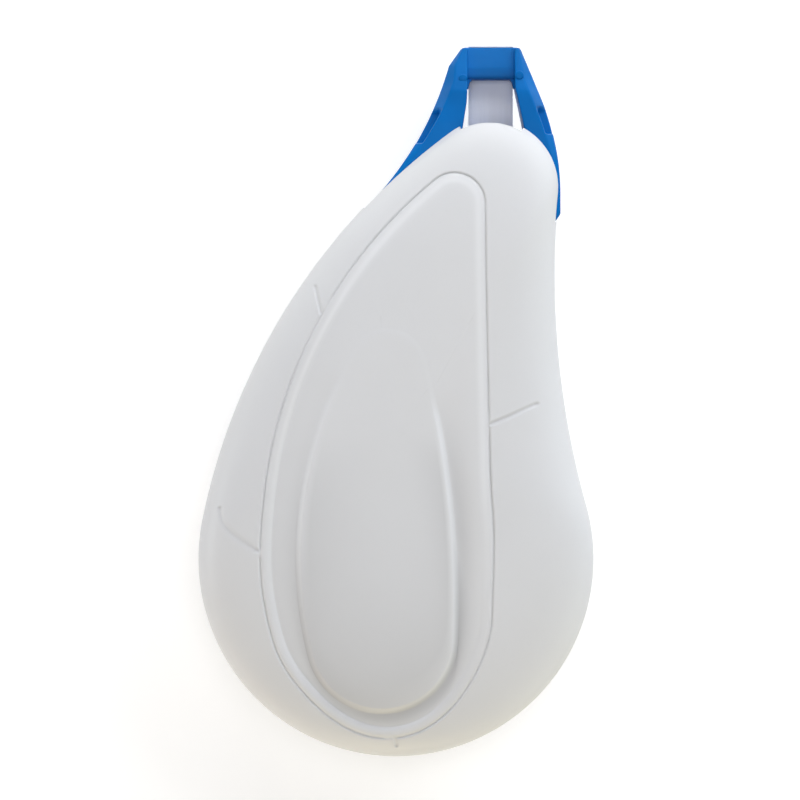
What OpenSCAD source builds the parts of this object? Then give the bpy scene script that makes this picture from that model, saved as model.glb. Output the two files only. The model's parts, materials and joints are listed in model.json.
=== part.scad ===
// Correction tape: a pear-shaped case of two shells, a yoke head whose blade lays the tape,
// and a supply reel geared to a take-up reel inside. Lengths in millimetres.
// It lies on its back: X across, Y from the round end up to the blade, Z out of the front face.

/* [Case] */
// Length over the round end and the blade edge
overall_l = 79.7; // [76:0.1:100]
// Thickness over both shells
case_t = 16; // [15:0.1:20]
// Radius of the round lower end
bulb_r = 22.15; // [21.5:0.05:27]
// Radius of the nose round the head
nose_r = 7.65; // [7:0.05:9.5]
// Middle of the nose, across from the middle of the case
nose_x = 10.65; // [9:0.05:12]
// Blade edge above the middle of the nose
tip_reach = 15.7; // [15.7:0.05:19]
// Radius of the full flank on the left
flank_r = 71.7; // [60:0.1:120]
// Radius of the hollow waist on the right
waist_r = 95; // [80:0.5:140]
// Squareness of the rolled edge, 2 is an ellipse and larger is squarer
roll_power = 4; // [3.4:0.1:5]
// Wall of the shells
wall = 1.3; // [1.05:0.05:1.6]
// Height of the dome that the rear flat is cut from, over the flat
rear_cut = 0.45; // [0.3:0.05:0.8]

/* [Leaf line] */
// Middle of the low round, from the middle of the bulb
leaf_low = [-1.58, -6.35];
// Radius of the low round
leaf_low_r = 12.6; // [11.5:0.05:13.2]
// How far the low end is drawn out to a point
leaf_tip = 0.9; // [0:0.05:1]
// Middle of the top round, from the middle of the nose
leaf_top = [-4.16, -2.27];
// Radius of the top round
leaf_top_r = 3.37; // [3:0.01:4.2]
// Radius of the full side on the left
leaf_left_r = 52.7; // [46:0.1:70]
// Radius of the almost straight, slightly hollow side on the right
leaf_right_r = 1350; // [700:50:3000]
// Width of the groove
groove_w = 0.5; // [0.4:0.05:0.8]
// Depth of the groove
groove_d = 0.24; // [0.2:0.01:0.5]
// Width of the roll inside the groove
rim_w = 0.5; // [0.3:0.05:0.6]
// Width of the slope from the roll down into the valley
fall_w = 1; // [0.7:0.05:1.4]
// Width of the short grooves that branch off it
branch_w = 0.55; // [0.4:0.05:0.7]
// Depth of those grooves
branch_d = 0.18; // [0.15:0.01:0.25]

/* [Pad] */
// Middle of the low round, from the middle of the bulb
pad_low = [-1.6, -8.65];
// Radius of the low round
pad_low_r = 7.7; // [7.2:0.05:8.6]
// Middle of the top round, from the middle of the bulb
pad_top = [-1.02, 21.2];
// Radius of the top round
pad_top_r = 3.85; // [3.4:0.05:4.6]
// Radius of the left side
pad_left_r = 45.7; // [40:0.1:60]
// Radius of the right side
pad_right_r = 104.7; // [80:0.1:140]
// Width of the slope round the pad
pad_slope = 0.8; // [0.6:0.05:0.9]
// Depth of the valley round the pad, at the low end
valley_d = 0.5; // [0.2:0.05:0.6]

/* [Head] */
// Thickness of the cheeks between the shells
cheek_t = 7.2; // [6.4:0.1:8]
// Tip of the left wing, from the middle of the nose
wing_tip = [-13.8, -2.4];
// Left shoulder below the blade, from the middle of the nose
shoulder = [-4.72, 13.4];
// Radius of the hollow left edge
left_edge_r = 37; // [32:0.5:60]
// Lower end of the right wing, below the middle of the nose
right_end = 4.05; // [3:0.05:5]
// Right edge of the head, from the middle of the nose
right_edge = 7.72; // [7.7:0.01:9.6]
// Radius of the full right edge
right_edge_r = 30; // [24:0.5:45]
// Inner side of the left cheek, from the middle of the nose
left_cheek = 3.45; // [3.3:0.05:3.8]
// Inner side of the right cheek, from the middle of the nose
right_cheek = 4.85; // [4.6:0.05:5]
// Extra height of the throat between the cheeks, where the tape leaves the shells
throat = 0.75; // [0.3:0.05:1]
// Thickness of the flanges beside the blade, at the edge
flange_t = 0.65; // [0.5:0.05:0.8]
// Half thickness of the flanges at the edge
flange_tip = 0.95; // [0.8:0.05:1.2]
// Width of the sloped band along the arms
arm_slope = 1.1; // [0.8:0.05:1.3]
// Lower and upper end of the pocket in the left arm, above the middle of the nose
left_pocket = [4.6, 8.6];
// Lower and upper end of the pocket in the right arm
right_pocket = [5.65, 8.85];
// Half thickness left between the pockets of an arm
pocket_web = 1.2; // [1:0.05:1.35]
// Radius of the round ends of the window's upper corners
corner_r = 0.5; // [0.4:0.02:0.52]
// Height of the window, from the nose to the blade
window_h = 11.85; // [11.4:0.05:12.2]
// Radius of the roll under the blade
blade_r = 1.1; // [0.9:0.05:1.3]
// Radius of the blade edge
edge_r = 0.3; // [0.25:0.01:0.4]
// Width of the webs in the top corners of the window
gusset_w = 0.8; // [0.5:0.05:1]
// Height of those webs
gusset_h = 1; // [0.6:0.05:1.2]
// Thickness of the guide bar between the cheeks
bar_t = 1; // [0.8:0.05:1.2]
// Lower and upper side of the guide bar, above the middle of the nose
bar_span = [3.5, 6];
// Radius of the locking pin through the left cheek
lock_r = 1.1; // [0.9:0.05:1.3]
// Locking pin, from the middle of the nose
lock_at = [-5.2, -0.5];

/* [Reels] */
// Width of the tape
tape_w = 5; // [4.1:0.05:5.4]
// Thickness of the tape
tape_t = 0.12; // [0.1:0.01:0.15]
// Radius of the full tape roll
roll_r = 15; // [12.5:0.1:15.2]
// Outer radius of the supply core
core_r = 8.5; // [8:0.1:9]
// Radius of the used film roll
film_r = 7; // [6:0.1:7.6]
// Outer radius of the take-up core
take_up_core_r = 5.5; // [5:0.1:5.8]
// Radius of the take-up flanges
flange_r = 8.8; // [8.2:0.1:8.8]
// Thickness of the flanges and of the slip disc
flange_th = 0.4; // [0.3:0.05:0.45]
// Gear module
gear_m = 0.75; // [0.7:0.01:0.76]
// Teeth of the supply gear
supply_teeth = 46; // [44:1:46]
// Teeth of the take-up gear
take_up_teeth = 19; // [19:1:20]
// Thickness of the gears
gear_t = 1.2; // [1:0.05:1.3]
// Play between the teeth
tooth_play = 0.12; // [0.1:0.01:0.2]
// Take-up axle, across from the supply axle
take_up_x = 1.5; // [0:0.1:3]
// Radius of the supply axle
supply_axle_r = 2.5; // [2:0.05:3]
// Radius of the take-up axle
take_up_axle_r = 1.8; // [1.5:0.05:2.2]
// Radius of the clutch hub
clutch_r = 6; // [5.6:0.05:6.2]
// Section radius of the clutch ring
ring_r = 0.6; // [0.5:0.05:0.7]
// Radius of the guide roller
roller_r = 1.5; // [1.2:0.05:1.7]
// Radius of the pin in the guide roller
roller_pin_r = 0.8; // [0.6:0.05:0.9]
// Radius of the bosses at the ends of the guide roller
roller_boss_r = 1.7; // [1.4:0.05:1.8]
// Guide roller, above the take-up axle
roller_rise = 7.42; // [6.5:0.01:8.5]

/* [Fits] */
// Running clearance of an axle in its bore
run_gap = 0.05; // [0.03:0.01:0.1]
// Clearance between pieces that sit still
seat_gap = 0.05; // [0.03:0.01:0.1]
// Play of the reels along their axles
end_gap = 0.1; // [0.05:0.01:0.15]
// Clearance between the tape and what it runs on
tape_gap = 0.1; // [0.05:0.01:0.15]
// Radius of the pins that join the shells
pin_r = 0.8; // [0.6:0.05:0.9]
// Radius of the posts round those pins
post_r = 1.4; // [1.2:0.05:1.5]
// Inset of those posts from the outline
post_inset = 2.3; // [2.2:0.05:2.5]

/* [Hidden] */
$fn = 96;
sides = 96;
mid = case_t / 2;
half_t = case_t / 2;
bulb = [0, bulb_r - overall_l / 2];
nose = [nose_x, overall_l / 2 - tip_reach];
hub = bulb + [0, 0.344 * norm(nose - bulb) - 0.4];
cheek = cheek_t / 2;
tip_y = tip_reach - tape_t - tape_gap / 2;
tape_half = tape_w / 2;
gear_top = -tape_half - 2 * end_gap - flange_th;
gear_low = gear_top - gear_t;
supply = bulb;
supply_pitch = gear_m * supply_teeth / 2;
take_up_pitch = gear_m * take_up_teeth / 2;
axle_span = supply_pitch + take_up_pitch;
take_up = supply + [take_up_x, sqrt(axle_span * axle_span - take_up_x * take_up_x)];
mesh_a = atan2(take_up[1] - supply[1], take_up[0] - supply[0]);
roller = [max(supply[0] + roll_r - roller_r, take_up[0] + film_r + roller_r + 2), take_up[1] + roller_rise];
neck_v = bar_span[0] - 0.4;
neck_z = bar_t / 2 + 0.5;

function polar(r, a) = r * [cos(a), sin(a)];
function way(p, q) = atan2(q[1] - p[1], q[0] - p[0]);
function turn(a) = a - 360 * floor(a / 360);

// Point at d1 from c1 and d2 from c2, left (1) or right (-1) of the way from c1 to c2
function meet(c1, d1, c2, d2, side) =
    let (v = c2 - c1, l = norm(v), a = (d1 * d1 - d2 * d2 + l * l) / (2 * l))
    let (h = sqrt(max(0, d1 * d1 - a * a)), u = v / l)
    c1 + a * u + side * h * [-u[1], u[0]];

// Outline of four tangent arcs round the hub, each [centre, radius, sense, direction of its start]
// A negative right radius makes a hollow waist
function outline(low, low_r, top, top_r, left_r, right_r) =
    let (cl = meet(low, left_r - low_r, top, left_r - top_r, -1))
    let (side = right_r > 0 ? 1 : -1)
    let (cr = meet(low, right_r - low_r, top, right_r - top_r, side) )
    let (cw = meet(low, low_r - right_r, top, top_r - right_r, -1))
    let (cc = right_r > 0 ? cr : cw)
    let (a_left_low = way(cl, low), a_left_top = way(cl, top))
    let (a_right_low = right_r > 0 ? way(cc, low) : way(low, cc))
    let (a_right_top = right_r > 0 ? way(cc, top) : way(top, cc))
    let (p0 = low + polar(low_r, a_left_low), p1 = low + polar(low_r, a_right_low))
    let (p2 = top + polar(top_r, a_right_top), p3 = top + polar(top_r, a_left_top))
    [[low, low_r, 1, way(hub, p0)], [cc, abs(right_r), side, way(hub, p1)],
     [top, top_r, 1, way(hub, p2)], [cl, left_r, 1, way(hub, p3)]];

// Arc of an outline that lies in direction a from the hub
function arc_at(o, a) =
    let (r = turn(a - o[0][3]))
    r < turn(o[1][3] - o[0][3]) ? o[0] :
    r < turn(o[2][3] - o[0][3]) ? o[1] :
    r < turn(o[3][3] - o[0][3]) ? o[2] : o[3];

// Where the direction a from the hub meets an outline: [point, outward normal]
function hit(o, a) =
    let (c = arc_at(o, a), d = polar(1, a), v = c[0] - hub, b = v * d)
    let (p = hub + (b + c[2] * sqrt(max(0, b * b - v * v + c[1] * c[1]))) * d)
    [p, c[2] * (p - c[0]) / c[1]];

body_line = outline(bulb, bulb_r, nose, nose_r, flank_r, -waist_r);
leaf_line = outline(bulb + leaf_low, leaf_low_r, nose + leaf_top, leaf_top_r, leaf_left_r, -leaf_right_r);
pad_line = outline(bulb + pad_low, pad_low_r, bulb + pad_top, pad_top_r, pad_left_r, pad_right_r);

// Directions from the hub, closer together towards the two far ends
angles = [for (i = [0 : sides - 1]) let (t = i * 360 / sides) t - 16 * sin(2 * (t - 80))];

// Height of the dome over a point, as a share of its full height; inset moves the outline in
function dome(p, inset = 0) =
    let (h = hit(body_line, way(hub, p)), s = norm(p - hub) / norm(h[0] - inset * h[1] - hub))
    pow(max(0, 1 - pow(min(s, 1), roll_power)), 1 / roll_power);

function raise(p, z) = [p[0], p[1], z];
function low_share(a) = 0.35 + 0.65 * (1 - sin(a)) / 2;

// One ring of points at a set step along each direction
function leaf_draw(a) = let (t = turn(a - 90) - 180) leaf_tip * cos(7.5 * t) * exp(-pow(t / 34, 2));
function leaf_at(a, step) = let (h = hit(leaf_line, a)) h[0] + (step + leaf_draw(a)) * h[1];
function pad_at(a, step) = let (h = hit(pad_line, a)) h[0] + step * h[1];
// Foot of the slope below the roll, no further than halfway to the foot of the pad
function fall_at(a) =
    let (p = leaf_at(a, -groove_w / 2 - rim_w), v = pad_at(a, pad_slope) - p)
    p + min(fall_w / norm(v), 0.5) * v;
function front_ring(at, sink) =
    [for (a = angles) let (p = at(a)) raise(p, half_t * dome(p) - sink(a))];

function band_at(a, v) = let (b = hit(body_line, a)[0]) b + v * (leaf_at(a, groove_w / 2) - b);
front_rings = concat(
    [for (v = [0, 0.006, 0.03, 0.09, 0.2, 0.4, 0.68, 1])
        front_ring(function (a) band_at(a, v), function (a) 0)],
    [front_ring(function (a) leaf_at(a, 0), function (a) groove_d),
     front_ring(function (a) leaf_at(a, -groove_w / 2), function (a) 0),
     front_ring(function (a) leaf_at(a, -groove_w / 2 - rim_w), function (a) 0),
     front_ring(function (a) fall_at(a), function (a) 0.75 * valley_d * low_share(a)),
     front_ring(function (a) pad_at(a, pad_slope), function (a) valley_d * low_share(a)),
     front_ring(function (a) pad_at(a, 0), function (a) 0),
     front_ring(function (a) hub + 0.5 * (pad_at(a, 0) - hub), function (a) 0)]);

// Short grooves across the band, in points of [direction from the hub, share of the way to the leaf line]
branches = [[[119.4, 0.425], [120.8, 0.704], [122.6, 1.015]],
            [[204, 0.3], [208.1, 0.385], [211.7, 0.53], [215.2, 0.686], [221.1, 0.969]],
            [[3.1, 1.03], [4.8, 0.92], [7.1, 0.737], [9.1, 0.559], [10.4, 0.389]],
            [[-90.1, 1.15], [-90, 0.9], [-89.9, 0.69]]];
module branch(points) {
    lift = branch_w / 2 - branch_d;
    line = [for (b = points) let (p = band_at(b[0], b[1])) raise(p, mid + half_t * dome(p) + lift)];
    for (i = [0 : len(line) - 2]) {
        v = line[i + 1] - line[i];
        l = norm(v);
        translate(line[i] - 0.08 * v / l)
            rotate([0, acos(v[2] / l), atan2(v[1], v[0])])
                cylinder(r = branch_w / 2, h = l + 0.16);
    }
}

// Rings that shrink towards the hub, cut flat at a top height
function shrunk_rings(shares, inset, height, top) =
    [for (s = shares) [for (a = angles)
        let (h = hit(body_line, a), p = hub + s * (h[0] - inset * h[1] - hub))
        raise(p, min(top, height * pow(1 - pow(s, roll_power), 1 / roll_power)))]];
flat_share = pow(1 - pow(half_t / (half_t + rear_cut), roll_power), 1 / roll_power);
rear_rings = shrunk_rings(
    concat([1, 0.9995, 0.996, 0.987, 0.968, 0.935, 0.89, 0.83, 0.76], [flat_share]),
    0, half_t + rear_cut, half_t);
inner_rings = shrunk_rings([1, 0.996, 0.975, 0.93, 0.85, 0.7, 0.4], wall, half_t - wall, half_t);

// Closed bowl, open side down: outer rings from the rim to their top, inner rings likewise
module bowl(outer, inner, outer_top, inner_top) {
    no = len(outer);
    ni = len(inner);
    start = no * sides + 1;
    points = concat([for (r = outer) each r], [raise(hub, outer_top)],
                    [for (r = inner) each r], [raise(hub, inner_top)]);
    function next(i) = (i + 1) % sides;
    faces = concat(
        [for (k = [0 : no - 2], i = [0 : sides - 1]) let (a = k * sides, b = a + sides)
            each [[a + i, b + i, b + next(i)], [a + i, b + next(i), a + next(i)]]],
        [for (i = [0 : sides - 1]) let (a = (no - 1) * sides) [a + i, start - 1, a + next(i)]],
        [for (k = [0 : ni - 2], i = [0 : sides - 1]) let (a = start + k * sides, b = a + sides)
            each [[a + i, b + next(i), b + i], [a + i, a + next(i), b + next(i)]]],
        [for (i = [0 : sides - 1]) let (a = start + (ni - 1) * sides)
            [a + i, a + next(i), start + ni * sides]],
        [for (i = [0 : sides - 1])
            each [[i, start + next(i), start + i], [i, next(i), start + next(i)]]]);
    polyhedron(points, faces, convexity = 6);
}

// Height above the middle plane where a boss of radius r at p ends, half way into the wall
function root_z(p, r) = let (q = p + r * (p - hub) / norm(p - hub))
    min((half_t - wall) * dome(p, wall) + wall / 2, half_t * dome(q) - wall / 2);

module rod(at, r, z0, z1) {
    translate([at[0], at[1], mid + z0])
        cylinder(r = r, h = z1 - z0);
}

// Room that both shells leave for the head
module head_room() {
    h = cheek + seat_gap;
    left = wing_tip[1] - seat_gap;
    right = -right_end - seat_gap;
    translate([nose[0] - 30, nose[1] + left, mid - h])
        cube([60, 30, 2 * h]);
    translate([nose[0] + right_cheek - seat_gap, nose[1] + right, mid - h])
        cube([20, 30, 2 * h]);
    translate([nose[0] - left_cheek, nose[1] + bar_span[0], mid - h - throat])
        cube([left_cheek + right_cheek, 30, 2 * (h + throat)]);
}

// Joining posts: three round the bulb and two on the left flank
function inset_at(a, d) = let (h = hit(body_line, a)) h[0] - d * h[1];
posts = concat([for (a = [-38, -142, 12]) bulb + polar(bulb_r - post_inset, a)],
               [for (a = [188, 128]) inset_at(a, post_inset)]);
lock = nose + lock_at;
post_h = 3;
pin_l = 2.4;

module front_shell() {
    color("white")
    difference() {
        union() {
            translate([0, 0, mid])
                bowl(front_rings, inner_rings, half_t, half_t - wall);
            for (p = posts)
                rod(p, post_r, 0, post_h);
            for (p = posts)
                rod(p, pin_r, -pin_l, 0.2);
            rod(supply, supply_axle_r + 1.4, tape_half + 2 * end_gap, root_z(supply, supply_axle_r + 1.4));
            rod(take_up, take_up_axle_r + 1.4, tape_half + flange_th + 3 * end_gap,
                root_z(take_up, take_up_axle_r + 1.4));
            rod(roller, roller_boss_r, tape_half + 3 * end_gap, root_z(roller, roller_boss_r));
            rod(lock, lock_r + 0.6, cheek + seat_gap, root_z(lock, lock_r + 0.6));
        }
        head_room();
        for (b = branches)
            branch(b);
        rod(supply, supply_axle_r + seat_gap, -1, half_t - wall - 1.2);
        rod(take_up, take_up_axle_r + seat_gap, -1, half_t - wall - 1.2);
        rod(roller, roller_pin_r + seat_gap, -1, root_z(roller, roller_boss_r) - 1);
    }
    color("white")
        rod(lock, lock_r, -cheek - 1.2, cheek + 0.4);
}

module rear_shell() {
    color("white")
    difference() {
        union() {
            translate([0, 0, mid])
                mirror([0, 0, 1])
                    bowl(rear_rings, inner_rings, half_t, half_t - wall);
            for (p = posts)
                rod(p, post_r, -post_h, 0);
            rod(supply, supply_axle_r + 2.5, -root_z(supply, supply_axle_r + 2.5), gear_low - end_gap);
            rod(supply, supply_axle_r, gear_low - 1, half_t - wall - 1.6);
            rod(take_up, take_up_axle_r + 2, -root_z(take_up, take_up_axle_r + 2), gear_low - end_gap);
            rod(take_up, take_up_axle_r, gear_low - 1, half_t - wall - 1.6);
            rod(roller, roller_boss_r, -root_z(roller, roller_boss_r), -tape_half - 3 * end_gap);
            rod(roller, roller_pin_r, -tape_half - 1, root_z(roller, roller_boss_r) - 1.3);
            rod(lock, lock_r + 0.6, -root_z(lock, lock_r + 0.6), -cheek - seat_gap);
        }
        head_room();
        for (p = posts)
            rod(p, pin_r + seat_gap, -pin_l - 0.2, 1);
        rod(lock, lock_r + seat_gap, -cheek - 1.4, 0);
    }
}

// Edges of the head at a height v above the middle of the nose
left_centre = meet(wing_tip, left_edge_r, shoulder, left_edge_r, 1);
right_mid = -1.24;
guide_half = tape_half + 0.15;
top_v = tip_y - 0.1;
straight_v = right_mid + 0.3466 * right_edge_r;
function left_out(v) = v < shoulder[1]
    ? left_centre[0] + sqrt(left_edge_r * left_edge_r - pow(v - left_centre[1], 2))
    : lookup(v, [[shoulder[1], shoulder[0]], [top_v, -guide_half - flange_t]]);
function right_arc(v) = right_edge - right_edge_r
    + sqrt(right_edge_r * right_edge_r - pow(max(0, v - right_mid), 2));
function right_out(v) = v < 0.75 - right_end
    ? right_edge - 0.65 * (0.75 - right_end - v)
    : v < straight_v ? right_arc(v)
    : lookup(v, [[straight_v, right_arc(straight_v)], [top_v, guide_half + flange_t]]);
function left_in(v) = -lookup(v, [[bar_span[1] - 0.8, left_cheek], [bar_span[1] + 0.3, left_cheek - 0.25],
    [9.2, guide_half + 0.1], [11, guide_half]]);
function right_in(v) = lookup(v, [[bar_span[0], right_cheek], [bar_span[1] + 0.3, guide_half + 1],
    [9.2, guide_half + 0.4], [11, guide_half]]);
// Half thickness of an arm at its face and at its outer edge, and the width of the slope between them
function face_z(v) = lookup(v,
    [[7, cheek], [10.5, 0.9 * cheek], [window_h, 0.74 * cheek], [top_v, flange_tip]]);
function side_z(v) = lookup(v,
    [[3, cheek - 0.25], [8.5, 0.4 * cheek], [window_h, 0.35 * cheek], [top_v, 0.4]]);
function slope_w(v) = lookup(v,
    [[1, 0.4], [4.5, 0.85], [8.5, arm_slope], [window_h, arm_slope], [top_v, 0.3 * flange_t]]);

// One arm of the yoke: eight-sided sections up the levels, given its inner and outer edge
// Between the ends of the pocket the slopes drop to the pocket's floor
module arm(levels, inner, outer, side, pocket) {
    n = len(levels);
    points = [for (v = levels)
        let (xi = nose[0] + inner(v), xo = nose[0] + outer(v), y = nose[1] + v)
        let (xs = xo - side * slope_w(v), zf = face_z(v), in = v > pocket[0] && v < pocket[1])
        let (xm = in ? xs + side * 0.12 : (xs + xo) / 2, zs = in ? pocket_web : side_z(v))
        let (zm = in ? pocket_web : (zf + zs) / 2)
        each [[xi, y, mid + zf], [xs, y, mid + zf], [xm, y, mid + zm], [xo, y, mid + zs],
              [xo, y, mid - zs], [xm, y, mid - zm], [xs, y, mid - zf], [xi, y, mid - zf]]];
    ring = [for (k = [0 : n - 2], i = [0 : 7]) let (a = 8 * k, b = a + 8, j = (i + 1) % 8)
        each [[a + i, a + j, b + j], [a + i, b + j, b + i]]];
    ends = [[7, 6, 5, 4, 3, 2, 1, 0], [for (i = [0 : 7]) 8 * (n - 1) + i]];
    all = concat(ring, ends);
    polyhedron(points, side > 0 ? [for (f = all) [for (i = [len(f) - 1 : -1 : 0]) f[i]]] : all);
}

// Levels of a pocket: just outside and inside of both ends, and between them
function pocket_levels(p) =
    [p[0] - 0.05, p[0] + 0.05, 0.6 * p[0] + 0.4 * p[1], 0.2 * p[0] + 0.8 * p[1], p[1] - 0.15, p[1] + 0.05];
left_levels = concat([wing_tip[1], -0.5, 1.5, 3.5], pocket_levels(left_pocket),
    [9.2, 10.5, 11.2, window_h, 12.6, shoulder[1], top_v]);
right_levels = concat([-right_end, 0.75 - right_end, right_mid, 1.5, bar_span[0], 5],
    pocket_levels(right_pocket),
    [straight_v, 10.5, 11.2, window_h, 13, top_v]);

// Blade section along Y and Z: a roll at the window, narrowing to the edge
low_c = window_h + blade_r;
edge_c = tip_y - edge_r;
lean = asin((blade_r - edge_r) / (edge_c - low_c));
module blade_section() {
    translate([low_c, 0])
        circle(r = blade_r);
    translate([edge_c, 0])
        circle(r = edge_r);
    polygon([for (s = [1, -1], e = [0, 1])
        let (far = s > 0 ? e : 1 - e, r = far == 0 ? blade_r : edge_r)
        [(far == 0 ? low_c : edge_c) + r * sin(lean), s * r * cos(lean)]]);
}

// Sweeps a section drawn along Y and Z across the head
module across(x0, x1) {
    translate([nose[0] + x0, nose[1], mid])
        rotate([90, 0, 90])
            linear_extrude(x1 - x0)
                children();
}

// Web in a top corner of the window
module gusset(s) {
    translate([nose[0], nose[1], mid - 0.75 * blade_r])
        linear_extrude(1.5 * blade_r)
            polygon([[s * (guide_half + 0.2), low_c],
                     [s * (guide_half + 0.2), window_h - gusset_h],
                     [s * (guide_half - 0.25), window_h - gusset_h],
                     [s * (guide_half - gusset_w), window_h + 0.1],
                     [s * (guide_half - gusset_w), low_c]]);
}

module applicator_head() {
    color("royalblue")
    difference() {
        union() {
            arm(left_levels, function (v) left_in(v), function (v) left_out(v), -1, left_pocket);
            arm(right_levels, function (v) right_in(v), function (v) right_out(v), 1, right_pocket);
            across(-guide_half - 0.3, guide_half + 0.3)
                blade_section();
            for (s = [1, -1])
                gusset(s);
            for (p = [[-1, window_h], [1, window_h + 0.4]])
                rod(nose + [p[0] * (guide_half + corner_r), p[1]], corner_r,
                    -face_z(window_h) - 0.12, face_z(window_h) + 0.12);
            across(-left_cheek - 0.4, right_cheek + 0.4)
                translate([bar_span[0], -bar_t / 2])
                    square([bar_span[1] - bar_span[0], bar_t]);
        }
        rod(lock, lock_r + seat_gap, -cheek - 1, cheek + 1);
    }
}

// Involute half angle of a tooth at radius r
function involute(c) = let (a = acos(min(1, c))) tan(a) * 180 / PI - a;
function tooth_half(r, pitch, teeth) =
    90 / teeth - tooth_play / 4 / pitch * 180 / PI + involute(cos(20)) - involute(pitch * cos(20) / r);
function gear_points(teeth, phase) =
    let (pitch = gear_m * teeth / 2, base = pitch * cos(20))
    let (tip = pitch + gear_m, root = pitch - 1.25 * gear_m)
    let (foot = max(base, root), up = [for (i = [0 : 4]) foot + i * (tip - foot) / 4])
    [for (k = [0 : teeth - 1]) let (a = phase + k * 360 / teeth) each concat(
        [polar(root, a - tooth_half(foot, pitch, teeth) - 0.2)],
        [for (r = up) polar(r, a - tooth_half(r, pitch, teeth))],
        [for (i = [4 : -1 : 0]) polar(up[i], a + tooth_half(up[i], pitch, teeth))],
        [polar(root, a + tooth_half(foot, pitch, teeth) + 0.2)])];

module gear(at, teeth, phase) {
    translate([at[0], at[1], mid + gear_low])
        linear_extrude(gear_t)
            polygon(gear_points(teeth, phase));
}

module annulus(at, outer, inner, z0, z1) {
    difference() {
        rod(at, outer, z0, z1);
        rod(at, inner, z0 - 1, z1 + 1);
    }
}

hub_top = tape_half - 0.5;
module supply_gear() {
    color("gainsboro")
    difference() {
        union() {
            gear(supply, supply_teeth, mesh_a);
            rod(supply, clutch_r, gear_low, hub_top);
        }
        rod(supply, supply_axle_r + run_gap, gear_low - 1, hub_top + 1);
        for (k = [0 : 5])
            rod(supply + polar(11.4, 60 * k), 2.6, gear_low - 1, gear_top + 1);
        translate([supply[0], supply[1], mid])
            rotate_extrude()
                translate([clutch_r, 0])
                    circle(r = ring_r + seat_gap);
    }
}

module clutch_ring() {
    color("dimgray")
    translate([supply[0], supply[1], mid])
        rotate_extrude()
            translate([clutch_r, 0])
                circle(r = ring_r);
}

module slip_disc() {
    color("aliceblue")
        annulus(supply, roll_r + 0.3, clutch_r + seat_gap,
                gear_top + seat_gap, gear_top + seat_gap + flange_th);
}

module supply_core() {
    color("lightgray")
        annulus(supply, core_r, clutch_r + ring_r + run_gap, -tape_half, tape_half);
}

module supply_roll() {
    color("whitesmoke")
        annulus(supply, roll_r, core_r, -tape_half, tape_half);
}

take_up_top = tape_half + end_gap;
module take_up_reel() {
    color("gainsboro")
    difference() {
        union() {
            gear(take_up, take_up_teeth, mesh_a + 180 + 180 / take_up_teeth);
            rod(take_up, flange_r, gear_top + end_gap, gear_top + end_gap + flange_th);
            rod(take_up, take_up_pitch - 1.25 * gear_m, gear_low, gear_top + end_gap + 0.1);
            rod(take_up, take_up_core_r, gear_top, take_up_top);
            rod(take_up, take_up_core_r - 1.2, gear_top, take_up_top + flange_th);
        }
        rod(take_up, take_up_axle_r + run_gap, gear_low - 1, take_up_top + 2);
    }
}

module take_up_flange() {
    color("gainsboro")
        annulus(take_up, flange_r, take_up_core_r - 1.2, take_up_top, take_up_top + flange_th);
}

module take_up_roll() {
    color("lightsteelblue")
        annulus(take_up, film_r, take_up_core_r, -tape_half, tape_half);
}

module guide_roller() {
    color("gainsboro")
        annulus(roller, roller_r, roller_pin_r + run_gap,
                -tape_half - 2 * end_gap, tape_half + 2 * end_gap);
}

// Ribbon through stations of [centre, quarter turn in degrees]
module ribbon(stations) {
    n = len(stations);
    points = [for (s = stations)
        let (w = tape_half * [sin(s[1]), 0, cos(s[1])], t = tape_t / 2 * [cos(s[1]), 0, -sin(s[1])])
        each [s[0] - w - t, s[0] - w + t, s[0] + w + t, s[0] + w - t]];
    polyhedron(points, concat(
        [[0, 1, 2, 3]],
        [for (k = [0 : n - 2], i = [0 : 3]) let (a = 4 * k, b = a + 4, j = (i + 1) % 4)
            each [[a + i, b + i, b + j], [a + i, b + j, a + j]]],
        [[for (i = [3 : -1 : 0]) 4 * (n - 1) + i]]));
}

function ease(t) = t * t * (3 - 2 * t);
neck = [nose[0], nose[1] + neck_v];
run_step = tape_gap + tape_t / 2;
// Where a straight run from the neck leaves a round of radius r, on its right
function leave(at, r) = at + polar(r, way(at, neck) - acos(r / norm(neck - at)));
// Stations of the quarter turn from a point to the neck, past a plain start, on one side of the guide bar
function quarter(from, plain, side) =
    let (wait = plain / norm(neck - from))
    [for (i = [0 : 20])
        let (t = i / 20, p = from + t * (neck - from), e = ease(max(0, (t - wait) / (1 - wait))))
        [[p[0], p[1], mid + side * neck_z * e], 90 * e]];

module feed_tape() {
    color("whitesmoke")
        ribbon(concat([[[supply[0] + roll_r + run_step, supply[1], mid], 0],
                       [[roller[0] + roller_r + run_step, roller[1], mid], 0]],
                      quarter(leave(roller, roller_r + run_step), 0.5, -1)));
}

module return_film() {
    color("lightsteelblue")
        ribbon(quarter(leave(take_up, film_r + run_step),
                       sqrt(flange_r * flange_r - film_r * film_r) + 0.5, 1));
}

// Run over one face of the blade, from the neck to the top of the edge
function face_line(step) =
    let (rb = blade_r + step, re = edge_r + step)
    let (start = [neck_v, neck_z + step - tape_gap / 2 - tape_t / 2], v = start - [low_c, 0])
    let (first = atan2(v[1], v[0]) - acos(rb / norm(v)))
    concat([start],
           [for (i = [0 : 3]) let (a = first + i / 3 * (90 - lean - first))
               [low_c + rb * cos(a), rb * sin(a)]],
           [for (i = [0 : 8]) let (a = (90 - lean) * (1 - i / 8))
               [edge_c + re * cos(a), re * sin(a)]]);
module face_run(side) {
    near = face_line(tape_gap / 2);
    far = face_line(tape_gap / 2 + tape_t);
    across(-tape_half, tape_half)
        polygon([for (p = concat(near, [for (i = [len(far) - 1 : -1 : 0]) far[i]])) [p[0], side * p[1]]]);
}

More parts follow.
